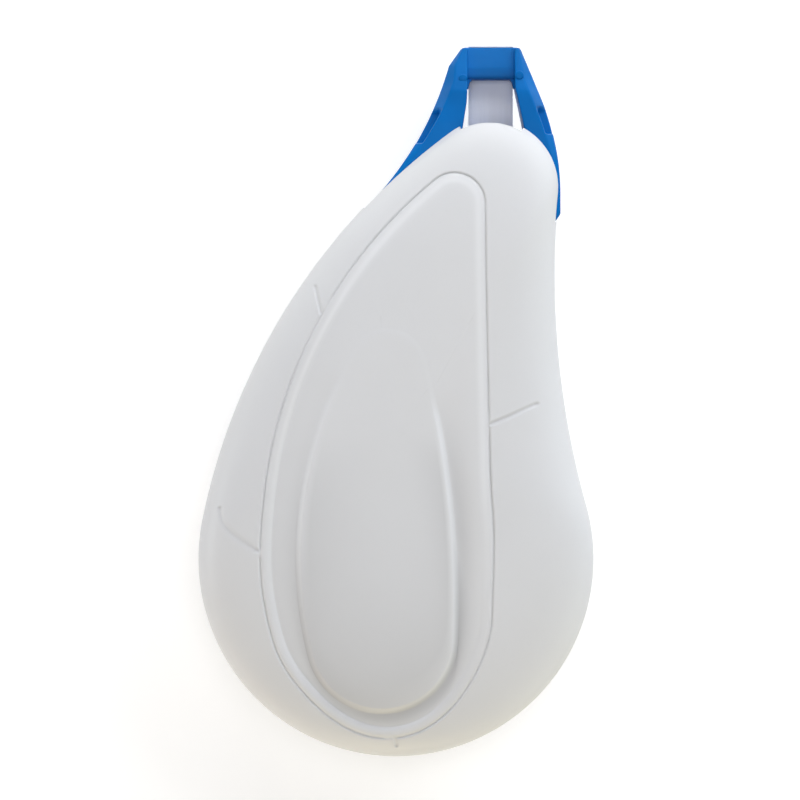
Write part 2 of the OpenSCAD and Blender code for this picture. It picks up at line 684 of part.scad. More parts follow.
module tip_tape() {
    color("whitesmoke")
        face_run(-1);
}

module tip_film() {
    color("lightsteelblue")
        face_run(1);
}

front_shell();
rear_shell();
applicator_head();
supply_gear();
clutch_ring();
slip_disc();
supply_core();
supply_roll();
take_up_reel();
take_up_flange();
take_up_roll();
guide_roller();
feed_tape();
tip_tape();
tip_film();
return_film();
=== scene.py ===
"""Looks of a correction tape: two pear-shaped shells, a yoke head with its blade, and tape runs and reels.

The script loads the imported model, builds the visible pieces as grid surfaces in the model's own frame,
gives every piece a finish and sets up the stage. Lengths are in metres where nothing says millimetres.
"""

import json
import math

import bpy
import numpy as np
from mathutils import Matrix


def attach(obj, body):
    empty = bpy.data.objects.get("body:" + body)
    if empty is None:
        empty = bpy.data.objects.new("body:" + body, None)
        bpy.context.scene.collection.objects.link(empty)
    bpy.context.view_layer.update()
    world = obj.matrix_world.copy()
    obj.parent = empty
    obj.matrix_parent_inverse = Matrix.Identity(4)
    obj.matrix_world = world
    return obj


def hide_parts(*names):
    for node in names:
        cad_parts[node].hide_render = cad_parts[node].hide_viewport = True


bl_info = {
    "name": "Correction tape",
    "version": (1, 0, 0),
    "blender": (4, 5, 0),
    "location": "View3D > Sidebar > Tape",
    "description": "Builds the visible pieces of a correction tape on its packed model",
    "category": "Object",
}

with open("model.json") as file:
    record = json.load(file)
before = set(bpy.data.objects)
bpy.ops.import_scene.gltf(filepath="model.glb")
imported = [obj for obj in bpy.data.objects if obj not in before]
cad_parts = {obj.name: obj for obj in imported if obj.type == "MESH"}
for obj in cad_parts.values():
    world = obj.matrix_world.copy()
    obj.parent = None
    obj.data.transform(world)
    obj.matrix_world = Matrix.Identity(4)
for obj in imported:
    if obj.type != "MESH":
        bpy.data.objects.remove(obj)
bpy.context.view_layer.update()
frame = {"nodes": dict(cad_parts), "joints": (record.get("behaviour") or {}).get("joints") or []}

MM = 0.001
TURN = 2 * math.pi
TINY = 1e-9


class CaseSizes(bpy.types.PropertyGroup):
    """Sizes of the two shells."""

    length: bpy.props.FloatProperty(
        name="Length", description="Round end to blade edge", default=79.7 * MM, unit="LENGTH"
    )
    thickness: bpy.props.FloatProperty(
        name="Thickness", description="Over both shells", default=16 * MM, unit="LENGTH"
    )
    bulb_r: bpy.props.FloatProperty(
        name="Bulb radius", description="Round lower end", default=22.14 * MM, unit="LENGTH"
    )
    nose_r: bpy.props.FloatProperty(
        name="Nose radius", description="Round end at the head", default=7.65 * MM, unit="LENGTH"
    )
    nose_x: bpy.props.FloatProperty(
        name="Nose offset", description="Nose across from the middle", default=10.65 * MM, unit="LENGTH"
    )
    tip_reach: bpy.props.FloatProperty(
        name="Blade reach", description="Blade edge above the nose", default=15.7 * MM, unit="LENGTH"
    )
    flank_r: bpy.props.FloatProperty(
        name="Flank radius", description="Full left side", default=71.7 * MM, unit="LENGTH"
    )
    waist_r: bpy.props.FloatProperty(
        name="Waist radius", description="Hollow right side", default=95 * MM, unit="LENGTH"
    )
    power: bpy.props.FloatProperty(
        name="Squareness", description="Power of the rolled edge", default=4.0
    )
    wall: bpy.props.FloatProperty(
        name="Wall", description="Wall of the shells", default=1.3 * MM, unit="LENGTH"
    )
    rear_cut: bpy.props.FloatProperty(
        name="Rear cut", description="Dome cut off by the rear flat", default=0.45 * MM, unit="LENGTH"
    )
    seam: bpy.props.FloatProperty(
        name="Seam", description="Depth of the joint between the shells", default=0.13 * MM, unit="LENGTH"
    )
    groove_w: bpy.props.FloatProperty(
        name="Groove width", description="Width of the leaf line", default=0.36 * MM, unit="LENGTH"
    )
    groove_d: bpy.props.FloatProperty(
        name="Groove depth", description="Depth of the leaf line", default=0.14 * MM, unit="LENGTH"
    )
    rim_d: bpy.props.FloatProperty(
        name="Rim fall", description="Fall of the leaf towards its line", default=0.05 * MM, unit="LENGTH"
    )
    valley_d: bpy.props.FloatProperty(
        name="Valley depth", description="Valley round the pad", default=0.5 * MM, unit="LENGTH"
    )
    pad_slope: bpy.props.FloatProperty(
        name="Pad slope", description="Width of the slope round the pad", default=0.8 * MM, unit="LENGTH"
    )
    branch_w: bpy.props.FloatProperty(
        name="Branch width", description="Width of the branch grooves", default=0.5 * MM, unit="LENGTH"
    )
    branch_d: bpy.props.FloatProperty(
        name="Branch depth", description="Depth of the branch grooves", default=0.12 * MM, unit="LENGTH"
    )


class HeadSizes(bpy.types.PropertyGroup):
    """Sizes of the head, its blade and the tape on it."""

    cheek: bpy.props.FloatProperty(
        name="Half thickness", description="Half thickness of the cheeks", default=3.6 * MM, unit="LENGTH"
    )
    gap: bpy.props.FloatProperty(
        name="Seat gap", description="Between the cheeks and the shells", default=0.05 * MM, unit="LENGTH"
    )
    throat: bpy.props.FloatProperty(
        name="Throat", description="Opening of the shells for the tape", default=0.75 * MM, unit="LENGTH"
    )
    corner: bpy.props.FloatProperty(
        name="Edge rounding", description="Rounding of the arm edges", default=0.2 * MM, unit="LENGTH"
    )
    web: bpy.props.FloatProperty(
        name="Pocket web", description="Half thickness between the pockets", default=1.2 * MM, unit="LENGTH"
    )
    window_h: bpy.props.FloatProperty(
        name="Window", description="Nose to the blade", default=11.85 * MM, unit="LENGTH"
    )
    blade_r: bpy.props.FloatProperty(
        name="Blade roll", description="Radius under the blade", default=1.1 * MM, unit="LENGTH"
    )
    edge_r: bpy.props.FloatProperty(
        name="Blade edge", description="Radius of the blade edge", default=0.3 * MM, unit="LENGTH"
    )
    tape_w: bpy.props.FloatProperty(
        name="Tape width", description="Width of the tape", default=5 * MM, unit="LENGTH"
    )
    tape_t: bpy.props.FloatProperty(
        name="Tape thickness", description="Thickness of the tape", default=0.12 * MM, unit="LENGTH"
    )
    tape_gap: bpy.props.FloatProperty(
        name="Tape gap", description="Between the tape and its rollers", default=0.1 * MM, unit="LENGTH"
    )


class ReelSizes(bpy.types.PropertyGroup):
    """Sizes of the reels and the guide roller."""

    core_r: bpy.props.FloatProperty(
        name="Core radius", description="Bore of the tape roll", default=8.5 * MM, unit="LENGTH"
    )
    roll_r: bpy.props.FloatProperty(
        name="Tape roll radius", description="Full tape roll", default=15 * MM, unit="LENGTH"
    )
    take_up_r: bpy.props.FloatProperty(
        name="Take-up radius", description="Bore of the film roll", default=5.5 * MM, unit="LENGTH"
    )
    film_r: bpy.props.FloatProperty(
        name="Film roll radius", description="Used film roll", default=7 * MM, unit="LENGTH"
    )
    flange_r: bpy.props.FloatProperty(
        name="Flange radius", description="Flanges of the take-up reel", default=8.8 * MM, unit="LENGTH"
    )
    roller_r: bpy.props.FloatProperty(
        name="Roller radius", description="Guide roller", default=1.5 * MM, unit="LENGTH"
    )


class Colours(bpy.types.PropertyGroup):
    """Colours of the pieces."""

    white: bpy.props.FloatVectorProperty(
        name="White plastic", description="Shells", subtype="COLOR", size=3, default=(0.69, 0.7, 0.715)
    )
    blue: bpy.props.FloatVectorProperty(
        name="Blue plastic", description="Head", subtype="COLOR", size=3, default=(0.002, 0.14, 0.455)
    )
    gear: bpy.props.FloatVectorProperty(
        name="Gears", description="Reels and gears", subtype="COLOR", size=3, default=(0.66, 0.67, 0.66)
    )
    rubber: bpy.props.FloatVectorProperty(
        name="Rubber", description="Clutch ring", subtype="COLOR", size=3, default=(0.05, 0.05, 0.055)
    )
    tape: bpy.props.FloatVectorProperty(
        name="Tape", description="Coated tape", subtype="COLOR", size=3, default=(0.87, 0.89, 0.94)
    )
    film: bpy.props.FloatVectorProperty(
        name="Film", description="Clear carrier film", subtype="COLOR", size=3, default=(0.62, 0.67, 0.74)
    )


class StageSettings(bpy.types.PropertyGroup):
    """Camera and light."""

    view_w: bpy.props.FloatProperty(
        name="View width", description="Width of the picture at the seam", default=89.9 * MM, unit="LENGTH"
    )
    lens: bpy.props.FloatProperty(
        name="Lens", description="Focal length", default=200.0, unit="CAMERA"
    )
    lamps: bpy.props.FloatProperty(
        name="Lamps", description="Strength of all lamps", default=1.0
    )
    world: bpy.props.FloatProperty(
        name="World", description="Strength of the surrounding light", default=0.19
    )


def unit(a):
    """Unit vectors in the direction of the angles a."""
    return np.stack([np.cos(a), np.sin(a)], -1)


def ease(t):
    """Smooth step from 0 to 1, flat at both ends: three squares of t less two cubes."""
    t = np.clip(t, 0, 1)
    return t * t * (3 - 2 * t)


def bell(x, width):
    """Bell curve of height 1 at x = 0, which falls to 1/e at the width."""
    return np.exp(-((x / width) ** 2))


def meet(c1, d1, c2, d2, side):
    """Point at d1 from c1 and d2 from c2, left (1) or right (-1) of the way from c1 to c2."""
    v = c2 - c1
    length = np.hypot(*v)
    along = (d1 * d1 - d2 * d2 + length * length) / (2 * length)
    off = math.sqrt(max(0.0, d1 * d1 - along * along))
    u = v / length
    return c1 + along * u + side * off * np.array([-u[1], u[0]])


class Outline:
    """Four tangent arcs round a hub: the low round, the right side, the top round and the left side.

    A negative radius makes the right side hollow.

    A tip draws the low end out to a point, by a cosine wave that fades on both sides. WAVE is how much faster
    the wave turns than the direction, and FADE is the width of the bell that it fades by, in degrees.
    """

    WAVE, FADE = 7.5, 34

    def __init__(self, hub, low, low_r, top, top_r, left_r, right_r, tip=0.0):
        low, top = np.array(low), np.array(top)
        left = meet(low, left_r - low_r, top, left_r - top_r, -1)
        full = right_r > 0
        if full:
            right = meet(low, right_r - low_r, top, right_r - top_r, 1)
        else:
            right = meet(low, low_r - right_r, top, top_r - right_r, -1)
        away = -1 if full else 1
        joins = np.array(
            [
                low + low_r * self.towards(left, low),
                low + low_r * away * self.towards(low, right),
                top + top_r * away * self.towards(top, right),
                top + top_r * self.towards(left, top),
            ]
        )
        self.hub, self.tip = hub, tip
        self.centres = np.array([low, right, top, left])
        self.radii = np.array([low_r, abs(right_r), top_r, left_r])
        self.sense = np.array([1, 1 if full else -1, 1, 1])
        starts = np.arctan2(joins[:, 1] - hub[1], joins[:, 0] - hub[0])
        self.first = starts[0]
        self.starts = np.mod(starts - starts[0], TURN)

    @staticmethod
    def towards(p, q):
        """Unit vector from p to q."""
        return (q - p) / np.hypot(*(q - p))

    def hit(self, a):
        """Points and outward normals where the directions a from the hub meet the outline.

        A ray's reach is the way along it to the point nearest its arc's centre, plus or minus half a chord.
        """
        arc = np.searchsorted(self.starts, np.mod(a - self.first, TURN), side="right") - 1
        d = unit(a)
        v = self.centres[arc] - self.hub
        b = (v * d).sum(-1)
        r, s = self.radii[arc], self.sense[arc]
        reach = b + s * np.sqrt(np.maximum(0, b * b - (v * v).sum(-1) + r * r))
        p = self.hub + reach[..., None] * d
        n = (s / r)[..., None] * (p - self.centres[arc])
        t = np.degrees(np.mod(a - math.pi / 2, TURN) - math.pi)
        draw = self.tip * np.cos(np.radians(self.WAVE * t)) * bell(t, self.FADE)
        return p + draw[..., None] * n, n

    def off(self, a, step):
        """Points at a step outwards from the outline."""
        p, n = self.hit(a)
        return p + step * n


class Case:
    """The shape both shells share: outlines round one hub, and a dome of superellipse section over them.

    The hub lies a third of the way up from the bulb, where each direction meets every outline once.
    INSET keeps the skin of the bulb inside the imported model.
    """

    INSET = 0.01 * MM
    HUB_RISE, HUB_DROP = 0.344, 0.4 * MM

    def __init__(self, s):
        self.mid = s.thickness / 2
        self.power = s.power
        self.tip = s.tip_reach
        self.bulb = np.array([0, s.bulb_r + self.INSET - s.length / 2])
        self.nose = np.array([s.nose_x, s.length / 2 - s.tip_reach])
        self.hub = self.bulb + [0, self.HUB_RISE * np.hypot(*(self.nose - self.bulb)) - self.HUB_DROP]
        self.body = Outline(self.hub, self.bulb, s.bulb_r, self.nose, s.nose_r, s.flank_r, -s.waist_r)
        self.leaf = Outline(
            self.hub,
            low=self.bulb + np.array([-1.58, -6.35]) * MM,
            low_r=12.6 * MM,
            top=self.nose + np.array([-4.16, -2.27]) * MM,
            top_r=3.37 * MM,
            left_r=52.7 * MM,
            right_r=-1350 * MM,
            tip=0.9 * MM,
        )
        self.pad = Outline(
            self.hub,
            low=self.bulb + np.array([-1.6, -8.65]) * MM,
            low_r=7.7 * MM,
            top=self.bulb + np.array([-1.02, 21.2]) * MM,
            top_r=3.85 * MM,
            left_r=45.7 * MM,
            right_r=104.7 * MM,
        )

    def share(self, p):
        """Distance from the hub as a share of the outline's distance in the same direction."""
        d = p - self.hub
        rim = self.body.hit(np.arctan2(d[..., 1], d[..., 0]))[0] - self.hub
        return np.hypot(d[..., 0], d[..., 1]) / np.hypot(rim[..., 0], rim[..., 1])

    def rise(self, share):
        """Height of the dome at a share of the outline, as a part of its full height.

        Both to the power of the superellipse, the height and the share add up to 1.
        """
        return np.maximum(0, 1 - np.minimum(share, 1) ** self.power) ** (1 / self.power)

    def dome_start(self, cut, full):
        """Angle in the section of a dome of full height, just above the rounded edge at the height cut."""
        edge_round = 0.25 * MM
        return np.arcsin(((cut + edge_round) / full) ** (self.power / 2))

    def columns(self, count, marks, cuts):
        """Directions round the hub, closer at the far ends and near the marks.

        A mark is a direction and a half width in degrees. The directions in cuts come twice, a hair apart.
        Returns the directions and whether each lies between the cuts, where the head needs room.
        """
        far_end, gather = math.radians(80), math.radians(16)
        extra, clear, apart = 2.6, 0.002, 1e-7
        t = np.linspace(0, TURN, 7201)
        a = t - gather * np.sin(2 * (t - far_end))
        weight = np.ones_like(a)
        for middle, half in np.radians(marks):
            off = np.abs(np.mod(a - middle + math.pi, TURN) - math.pi)
            weight += extra * (off < half)
        total = np.concatenate([[0], np.cumsum((weight[1:] + weight[:-1]) / 2)])
        a = np.interp(np.arange(count) / count * total[-1], total, a)
        a = np.sort(np.mod(a, TURN))
        low, high = cuts
        a = a[(np.abs(a - low) > clear) & (np.abs(a - high) > clear)]
        a = np.sort(np.concatenate([a, [low, low + apart, high - apart, high]]))
        return a, (a > low + apart / 2) & (a < high - apart / 2)


def segment_distance(p, points):
    """Distance of the points p from a run of straight segments: the least to the nearest point of each."""
    best = np.full(p.shape[:-1], np.inf)
    for a, b in zip(points[:-1], points[1:]):
        v = b - a
        t = np.clip(((p - a) @ v) / (v @ v), 0, 1)
        d = p - a - t[..., None] * v
        best = np.minimum(best, np.hypot(d[..., 0], d[..., 1]))
    return best


def add_mesh(name, points, faces, sharp, **values):
    """A mesh object from an array of points and a list of face arrays.

    It is smooth apart from edges sharper than an angle in degrees. Named values become point attributes.
    The faces are turned outwards by the sign of the volume.
    """
    fans = [f[:, [0, i, i + 1]] for f in faces for i in range(1, f.shape[1] - 1)]
    a, b, c = (points[np.concatenate(fans)[:, i]] for i in range(3))
    if (a * np.cross(b, c)).sum() < 0:
        faces = [f[:, ::-1] for f in faces]
    mesh = bpy.data.meshes.new(name)
    mesh.from_pydata(points.tolist(), [], [row for f in faces for row in f.tolist()])
    mesh.validate()
    mesh.shade_smooth()
    mesh.set_sharp_from_angle(angle=math.radians(sharp))
    for key, value in values.items():
        mesh.attributes.new(key, "FLOAT", "POINT").data.foreach_set("value", value.astype(np.float32))
    made = bpy.data.objects.new(name, mesh)
    bpy.context.scene.collection.objects.link(made)
    return made


def grid_faces(rows, columns):
    """Quads of a grid whose last column joins the first."""
    k, j = np.meshgrid(np.arange(rows - 1), np.arange(columns), indexing="ij")
    n = (j + 1) % columns
    quad = np.stack([k * columns + j, k * columns + n, (k + 1) * columns + n, (k + 1) * columns + j], -1)
    return quad.reshape(-1, 4)


def add_loft(name, rings, sharp, **values):
    """A closed piece from rings of points (rows, columns, 3): its two ends close on their middles."""
    rows, columns = rings.shape[:2]
    points = np.concatenate([rings.reshape(-1, 3), [rings[0].mean(0), rings[-1].mean(0)]])
    j = np.arange(columns)
    n = (j + 1) % columns
    size = rows * columns
    ends = np.concatenate(
        [
            np.stack([n, j, np.full(columns, size)], -1),
            np.stack([size - columns + j, size - columns + n, np.full(columns, size + 1)], -1),
        ]
    )
    values = {k: np.concatenate([v.ravel(), [v[0].mean(), v[-1].mean()]]) for k, v in values.items()}
    return add_mesh(name, points, [grid_faces(rows, columns), ends], sharp, **values)


def add_lathe(name, profile, axis, count, sharp):
    """A closed ring: a closed profile of (radius, height) carried round a vertical axis at (x, y)."""
    a = np.linspace(0, TURN, count, endpoint=False)
    profile = np.concatenate([profile, profile[:1]])
    out = unit(a)[None] * profile[:, None, :1] + np.array(axis)
    points = np.concatenate([out, np.broadcast_to(profile[:, None, 1:], out.shape[:2] + (1,))], -1)
    faces = grid_faces(len(profile), count) % ((len(profile) - 1) * count)
    return add_mesh(name, points[:-1].reshape(-1, 3), [faces], sharp)


def settle(piece, body, node, finish):
    """Rides a piece on its body in place of its CAD node, with a finish."""
    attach(piece, body)
    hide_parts(node)
    piece.data.materials.clear()
    piece.data.materials.append(finish)


# Short grooves off the leaf line, each from its free end, in millimetres
BRANCHES = (
    ((-8.95, 12.63), (-8.64, 11.24), (-8.26, 9.68)),
    ((-19.53, -11.95), (-19.23, -13.52), (-18.34, -14.55), (-17.27, -15.43), (-15.34, -16.64)),
    ((15.56, -0.39), (14.18, -0.97), (12.73, -1.67), (11.18, -2.3), (10.24, -2.69)),
    ((0.04, -38.33), (-0.07, -37.4)),
)
# Breaks in the leaf line: middle and half length, in millimetres
BREAKS = ((-7.64, 10.75, 0.9), (-15.34, -16.89, 0.6), (10.4, -2.75, 1.0), (-0.62, -37.85, 0.8))
# Directions that need closer columns, and their half widths, in degrees
BRANCH_MARKS = ((7, 6.5), (121, 4), (212, 12), (270, 3))
THROAT_MARKS = ((78.1, 0.8), (67.1, 0.8))
# The leaf is shaped from this far outside its line to this far inside it
LEAF_OUT, LEAF_IN = 0.5 * MM, 1.25 * MM
# Radius of the pits at the free ends of the branches
PIT_R = 0.22 * MM

# The head, in millimetres across and up from the middle of the nose
WING_TIP = np.array([-13.8, -2.4])
SHOULDER = np.array([-4.72, 13.4])
LEFT_EDGE_R = 37
RIGHT_EDGE, RIGHT_EDGE_R, RIGHT_EDGE_Y = 7.72, 30, -1.24
# Sine of the angle that the arc of the right edge turns, and the height where it ends
RIGHT_TURN = 0.3466
RIGHT_ARC_TOP = RIGHT_EDGE_Y + RIGHT_TURN * RIGHT_EDGE_R
RIGHT_FOOT, RIGHT_CORNER, RIGHT_CHAMFER = -4.05, -3.3, 0.65
LEFT_POCKET, RIGHT_POCKET = (4.6, 8.6), (5.65, 8.85)
# Thickness of the flanges beside the blade, play of the tape between them, and drop of the arms' ends
FLANGE_T, GUIDE_PLAY, ARM_DROP = 0.65, 0.15, 0.1
BAR = ((-3.85, 3.5), (5.25, 3.5), (5.25, 6), (-3.85, 6))
# Sides of the throat across from the nose, and their rounding
THROAT_LEFT, THROAT_RIGHT, THROAT_ROUND = -3.45 * MM, 3.75 * MM, 0.12 * MM
# Where the tape and film enter the head, above the nose, and how far from the middle plane
NECK, NECK_LIFT = 3.1 * MM, 1.0 * MM


def head_cuts(case, head):
    """Directions in which the shells start and stop leaving room for the head, at the ends of its wings."""
    found = []
    for low, high, foot in ((0, 90, RIGHT_FOOT), (90, 180, WING_TIP[1])):
        a = np.radians(np.linspace(low, high, 2001))
        y = case.body.hit(a)[0][:, 1] - (case.nose[1] + foot * MM - head.gap)
        found.append(a[np.argmin(np.abs(y))])
    return found


def head_room(case, head, a, at_head):
    """Height of the shell edge above the middle plane: the cheeks pass under it, and the tape by a throat."""
    x = case.body.hit(a)[0][:, 0] - case.nose[0]
    between = ease((x - THROAT_LEFT) / THROAT_ROUND) * ease((THROAT_RIGHT - x) / THROAT_ROUND)
    return (head.cheek + head.gap + head.throat * between) * at_head


def rim_rings(case, s, a, start, z0):
    """Three rings that round the edge of a shell into the seam, at shares of its depth, from below."""
    p, n = case.body.hit(a)
    line = case.hub + start[:, None] * (p - case.hub)
    rings = [line - n * s.seam * inset for inset in (1, 0.42, 0.08)]
    heights = [z0 + s.seam * lift for lift in (0.1, 0.38, 0.95)]
    return rings, heights


def inner_rings(case, s, a, z0):
    """Rings of the inside of a shell, from its middle out to its edge.

    They follow the dome's superellipse, one wall in from the outline and one wall lower.
    """
    p, n = case.body.hit(a)
    height = case.mid - s.wall
    last = (z0 / height) ** (case.power / 2)
    rings, heights = [], []
    for t in np.linspace(0, 1, 15)[1:]:
        phi = math.pi / 2 + t * (np.arcsin(last) - math.pi / 2)
        share = np.maximum(np.cos(phi), 0) ** (2 / case.power)
        rings.append(case.hub + share[:, None] * (p - s.wall * n - case.hub))
        heights.append(height * np.sin(phi) ** (2 / case.power))
    heights[-1] = z0 + 0 * a
    return rings, heights


def shell_base(case, s, head, full, count, marks):
    """Directions of a shell's columns, heights of its edge, and its rings from the inside round that edge.

    The edge lies where a dome of full height reaches the height that the head needs.
    """
    a, at_head = case.columns(count, marks, head_cuts(case, head))
    cut = head_room(case, head, a, at_head)
    rings, heights = inner_rings(case, s, a, cut)
    edge, lift = rim_rings(case, s, a, case.rise(cut / full), cut)
    return a, cut, rings + edge, heights + lift


def shell_rings(case, rings, heights, side):
    """Stacks rings and their heights from the middle plane into points, up (1) or down (-1)."""
    flat = np.stack(rings)
    up = case.mid + side * np.stack(heights)
    return np.concatenate([flat, up[..., None]], -1)


def branch_relief(s, p):
    """Shares of the depth of the branch grooves, and of the pits at their free ends, at the points p.

    By the distance from its line a groove has a flat floor and smooth steps up, and a pit is a bell curve.
    """
    floor, flank = 0.12 * s.branch_w, 0.48 * s.branch_w
    branches = [np.array(b) * MM for b in BRANCHES]
    far = np.min([segment_distance(p, b) for b in branches], 0)
    pits = sum(bell(np.hypot(*(p - b[0]).T), PIT_R) for b in branches)
    return 1 - ease((far - floor) / flank), 0.5 * pits


class Relief:
    """The front's relief in the directions a round the hub: how deep it is sunk, its painted shade, and its
    painted highlights where it is also polished.

    line: depth of the leaf line, half at the upper right and nearly none at its breaks
    depth: depth of the valley, which is least at the top
    edge: height of the pad's edge over the valley, which fades out at the top
    roll: how much of the fall to the valley comes close inside the line, most on the lower left
    rim: fall of the leaf towards its line, most at the upper right
    left_highlight, right_highlight, pad_highlight: painted highlight on the roll and on the pad's edge, which
    are also polished there
    dirt, low_left, low_right, low: painted shade in the valley, on the pad's slope at the low end, and on the
    pad, darker towards its low end
    """

    def __init__(self, case, s, a):
        def facing(way, start=0.0):
            return start + np.cos(a - math.radians(way))

        self.s = s
        up, degrees = np.sin(a), np.degrees(a)
        middle = case.leaf.hit(a)[0]
        self.line = 1 - 0.5 * ease(facing(65, 0.25))
        for x, y, half in BREAKS:
            off = np.hypot(middle[:, 0] - x * MM, middle[:, 1] - y * MM)
            self.line *= 1 - 0.9 * np.exp(-((off / (half * MM)) ** 4))
        valley = 0.35 + 0.65 * (1 - up) / 2
        self.depth = s.valley_d * valley
        self.edge = 1 - 0.75 * ease((up - 0.35) / 0.5)
        self.roll = ease(facing(205, 0.5) / 1.2)
        self.rim = 1 + 2 * ease(facing(40, 0.2))
        # Painted highlights, where the surface is also less rough: on the crests of the roll and on the pad's
        # edge.
        self.left_highlight = ease(facing(145))
        self.right_highlight = 0.9 * ease(facing(35, 0.3))
        self.pad_highlight = self.edge * (0.45 - 0.36 * up**2)
        # Painted shade: in the valley, on the pad's slope at the low end, and darker towards the pad's low
        # end.
        self.shade_tint = valley**6
        self.low_left = 2.1 * bell(degrees - 255, 22)
        self.low_right = 2.1 * ease((302 - degrees) / 18) * ease((degrees - 250) / 20)
        self.low = 1.2 * ease(-up)

    def by_line(self, step):
        """Sink, painted shade and painted highlight at a step out from the leaf line.

        The line is a bell curve. The leaf falls towards it by the square of the nearness, and past a flat the
        roll falls by the square of the distance. The painted shade darkens the line, and the painted
        highlight, which also lowers the roughness, is a bell curve on each crest of the roll.
        """
        out, flat = 0.3 * MM, 0.15
        line = self.line * bell(step, 0.36 * self.s.groove_w)
        near = max(0, 1 - abs(step) / (LEAF_IN if step < 0 else out)) ** 2
        fall = 1.3 * self.depth * self.roll * max(0, -step / LEAF_IN - flat) ** 2
        sink = self.s.groove_d * line + self.s.rim_d * self.rim * near + fall
        left, right = bell(step / MM + 0.95, 0.3), bell(step / MM + 0.7, 0.45)
        return sink, 0.4 * line, self.left_highlight * left + self.right_highlight * right

    def in_valley(self, t):
        """Sink, painted shade and painted highlight at a share t of the way from the roll to the foot of the
        pad.

        The sink is a smooth step, or nearly level where the roll has taken the fall.
        """
        level = 0.94 + 0.06 * t
        sink = ease(t) + self.roll * (level - ease(t))
        shade_tint = np.maximum(self.shade_tint * ease(t), self.low_right * t * (2 - t))
        return sink * self.depth * (1 - (1 - self.edge) * t), shade_tint, 0.37 * self.left_highlight * bell(t, 0.06)

    def up_pad(self, t):
        """Sink, painted shade and painted highlight at a share t of the way up the pad: a smooth step, with
        the painted highlight near its top.
        """
        shade_tint = np.maximum(self.shade_tint * (1 - ease(1.5 * t)), self.low_left * (1 - 0.3 * t * t))
        shade_tint = np.maximum(shade_tint, self.low_right * (1 - ease(1.2 * t - 0.2)))
        return self.depth * self.edge * (1 - ease(t)), shade_tint, self.pad_highlight * bell(t - 0.75, 0.25)


class TAPE_OT_front_shell(bpy.types.Operator):
    """Front shell: rings from the inside, round the edge, over the band and the leaf line, and up the pad"""

    bl_idname = "tape.front_shell"
    bl_label = "Front shell"

    def execute(self, context):
        s, head = context.scene.tape_case, context.scene.tape_head
        case = Case(s)
        marks = BRANCH_MARKS + THROAT_MARKS
        a, cut, rings, heights = shell_base(case, s, head, case.mid, count=620, marks=marks)
        # Painted shade and painted highlight of each ring; none on the rings round the edge.
        recess, worn = ([np.zeros_like(a)] * len(rings) for _ in range(2))

        def lay(p, sink=0.0, shade_tint=0.0, highlight=0.0):
            """Adds a ring at p on the dome, sunk by the relief or by a branch, whichever is deeper."""
            branch, pit = branch_relief(s, p)
            dome = case.mid * case.rise(case.share(p))
            rings.append(p)
            heights.append(dome - np.maximum(sink, s.branch_d * (branch + pit)))
            # Painted shade: the relief's painted shade, or darker in the branch grooves and their pits,
            # whichever is more.
            recess.append(np.maximum(shade_tint, 0.32 * branch + pit))
            worn.append(highlight + 0 * a)

        # The band, from the edge to the leaf line
        rim, outer = case.body.hit(a)[0], case.leaf.off(a, LEAF_OUT)
        low = 1 - case.share(outer)
        first, last = case.dome_start(cut, case.mid), np.arccos((1 - low) ** (case.power / 2))
        for t in np.linspace(0, 1, 46):
            share = np.cos(first + t * (last - first)) ** (2 / case.power)
            lay(rim + ((1 - share) / low)[:, None] * (outer - rim))

        # Across the leaf line and down inside it
        relief = Relief(case, s, a)
        across, down = np.linspace(LEAF_OUT, -LEAF_OUT, 21), np.linspace(-LEAF_OUT, -LEAF_IN, 13)
        for step in np.concatenate([across[1:], down[1:]]):
            lay(case.leaf.off(a, step), *relief.by_line(step))

        # The valley, the slope up to the pad, and the pad
        inside, foot = case.leaf.off(a, -LEAF_IN), case.pad.off(a, s.pad_slope)
        for t in np.linspace(0, 1, 23)[1:]:
            lay(inside + t * (foot - inside), *relief.in_valley(t))
        for t in np.linspace(0, 1, 13)[1:]:
            lay(case.pad.off(a, s.pad_slope * (1 - t)), *relief.up_pad(t))
        top = case.pad.hit(a)[0]
        for t in np.linspace(1, 0.02, 13)[1:]:
            # Painted shade on the pad, darker towards its low end.
            lay(case.hub + t * (top - case.hub), shade_tint=relief.low * t * t)

        points = shell_rings(case, rings, heights, 1)
        shell = add_loft("front_shell_skin", points, sharp=50, recess=np.stack(recess), worn=np.stack(worn))
        settle(shell, "case", "front_shell", white_plastic(context.scene.tape_colours))
        return {"FINISHED"}


class TAPE_OT_rear_shell(bpy.types.Operator):
    """Rear shell: rings from the inside, round the edge and over the dome to the flat it lies on"""

    bl_idname = "tape.rear_shell"
    bl_label = "Rear shell"

    def execute(self, context):
        s, head = context.scene.tape_case, context.scene.tape_head
        case = Case(s)
        full = case.mid + s.rear_cut
        a, cut, rings, heights = shell_base(case, s, head, full, count=480, marks=THROAT_MARKS)
        rim = case.body.hit(a)[0]
        first = case.dome_start(cut, full)
        last = np.arcsin((case.mid / full) ** (case.power / 2))
        for t in np.linspace(0, 1, 44):
            phi = first + t * (last - first)
            share = np.cos(phi) ** (2 / case.power)
            rings.append(case.hub + share[:, None] * (rim - case.hub))
            heights.append(full * np.sin(phi) ** (2 / case.power))
        flat = np.cos(last) ** (2 / case.power)
        for t in (0.97, 0.9, 0.7, 0.45, 0.2, 0.03):
            rings.append(case.hub + t * flat * (rim - case.hub))
            heights.append(case.mid + 0 * a)
        points = shell_rings(case, rings, heights, -1)
        plain = np.zeros(points.shape[:2])
        shell = add_loft("rear_shell_skin", points, sharp=50, recess=plain, worn=plain)
        settle(shell, "case", "rear_shell", white_plastic(context.scene.tape_colours))
        return {"FINISHED"}


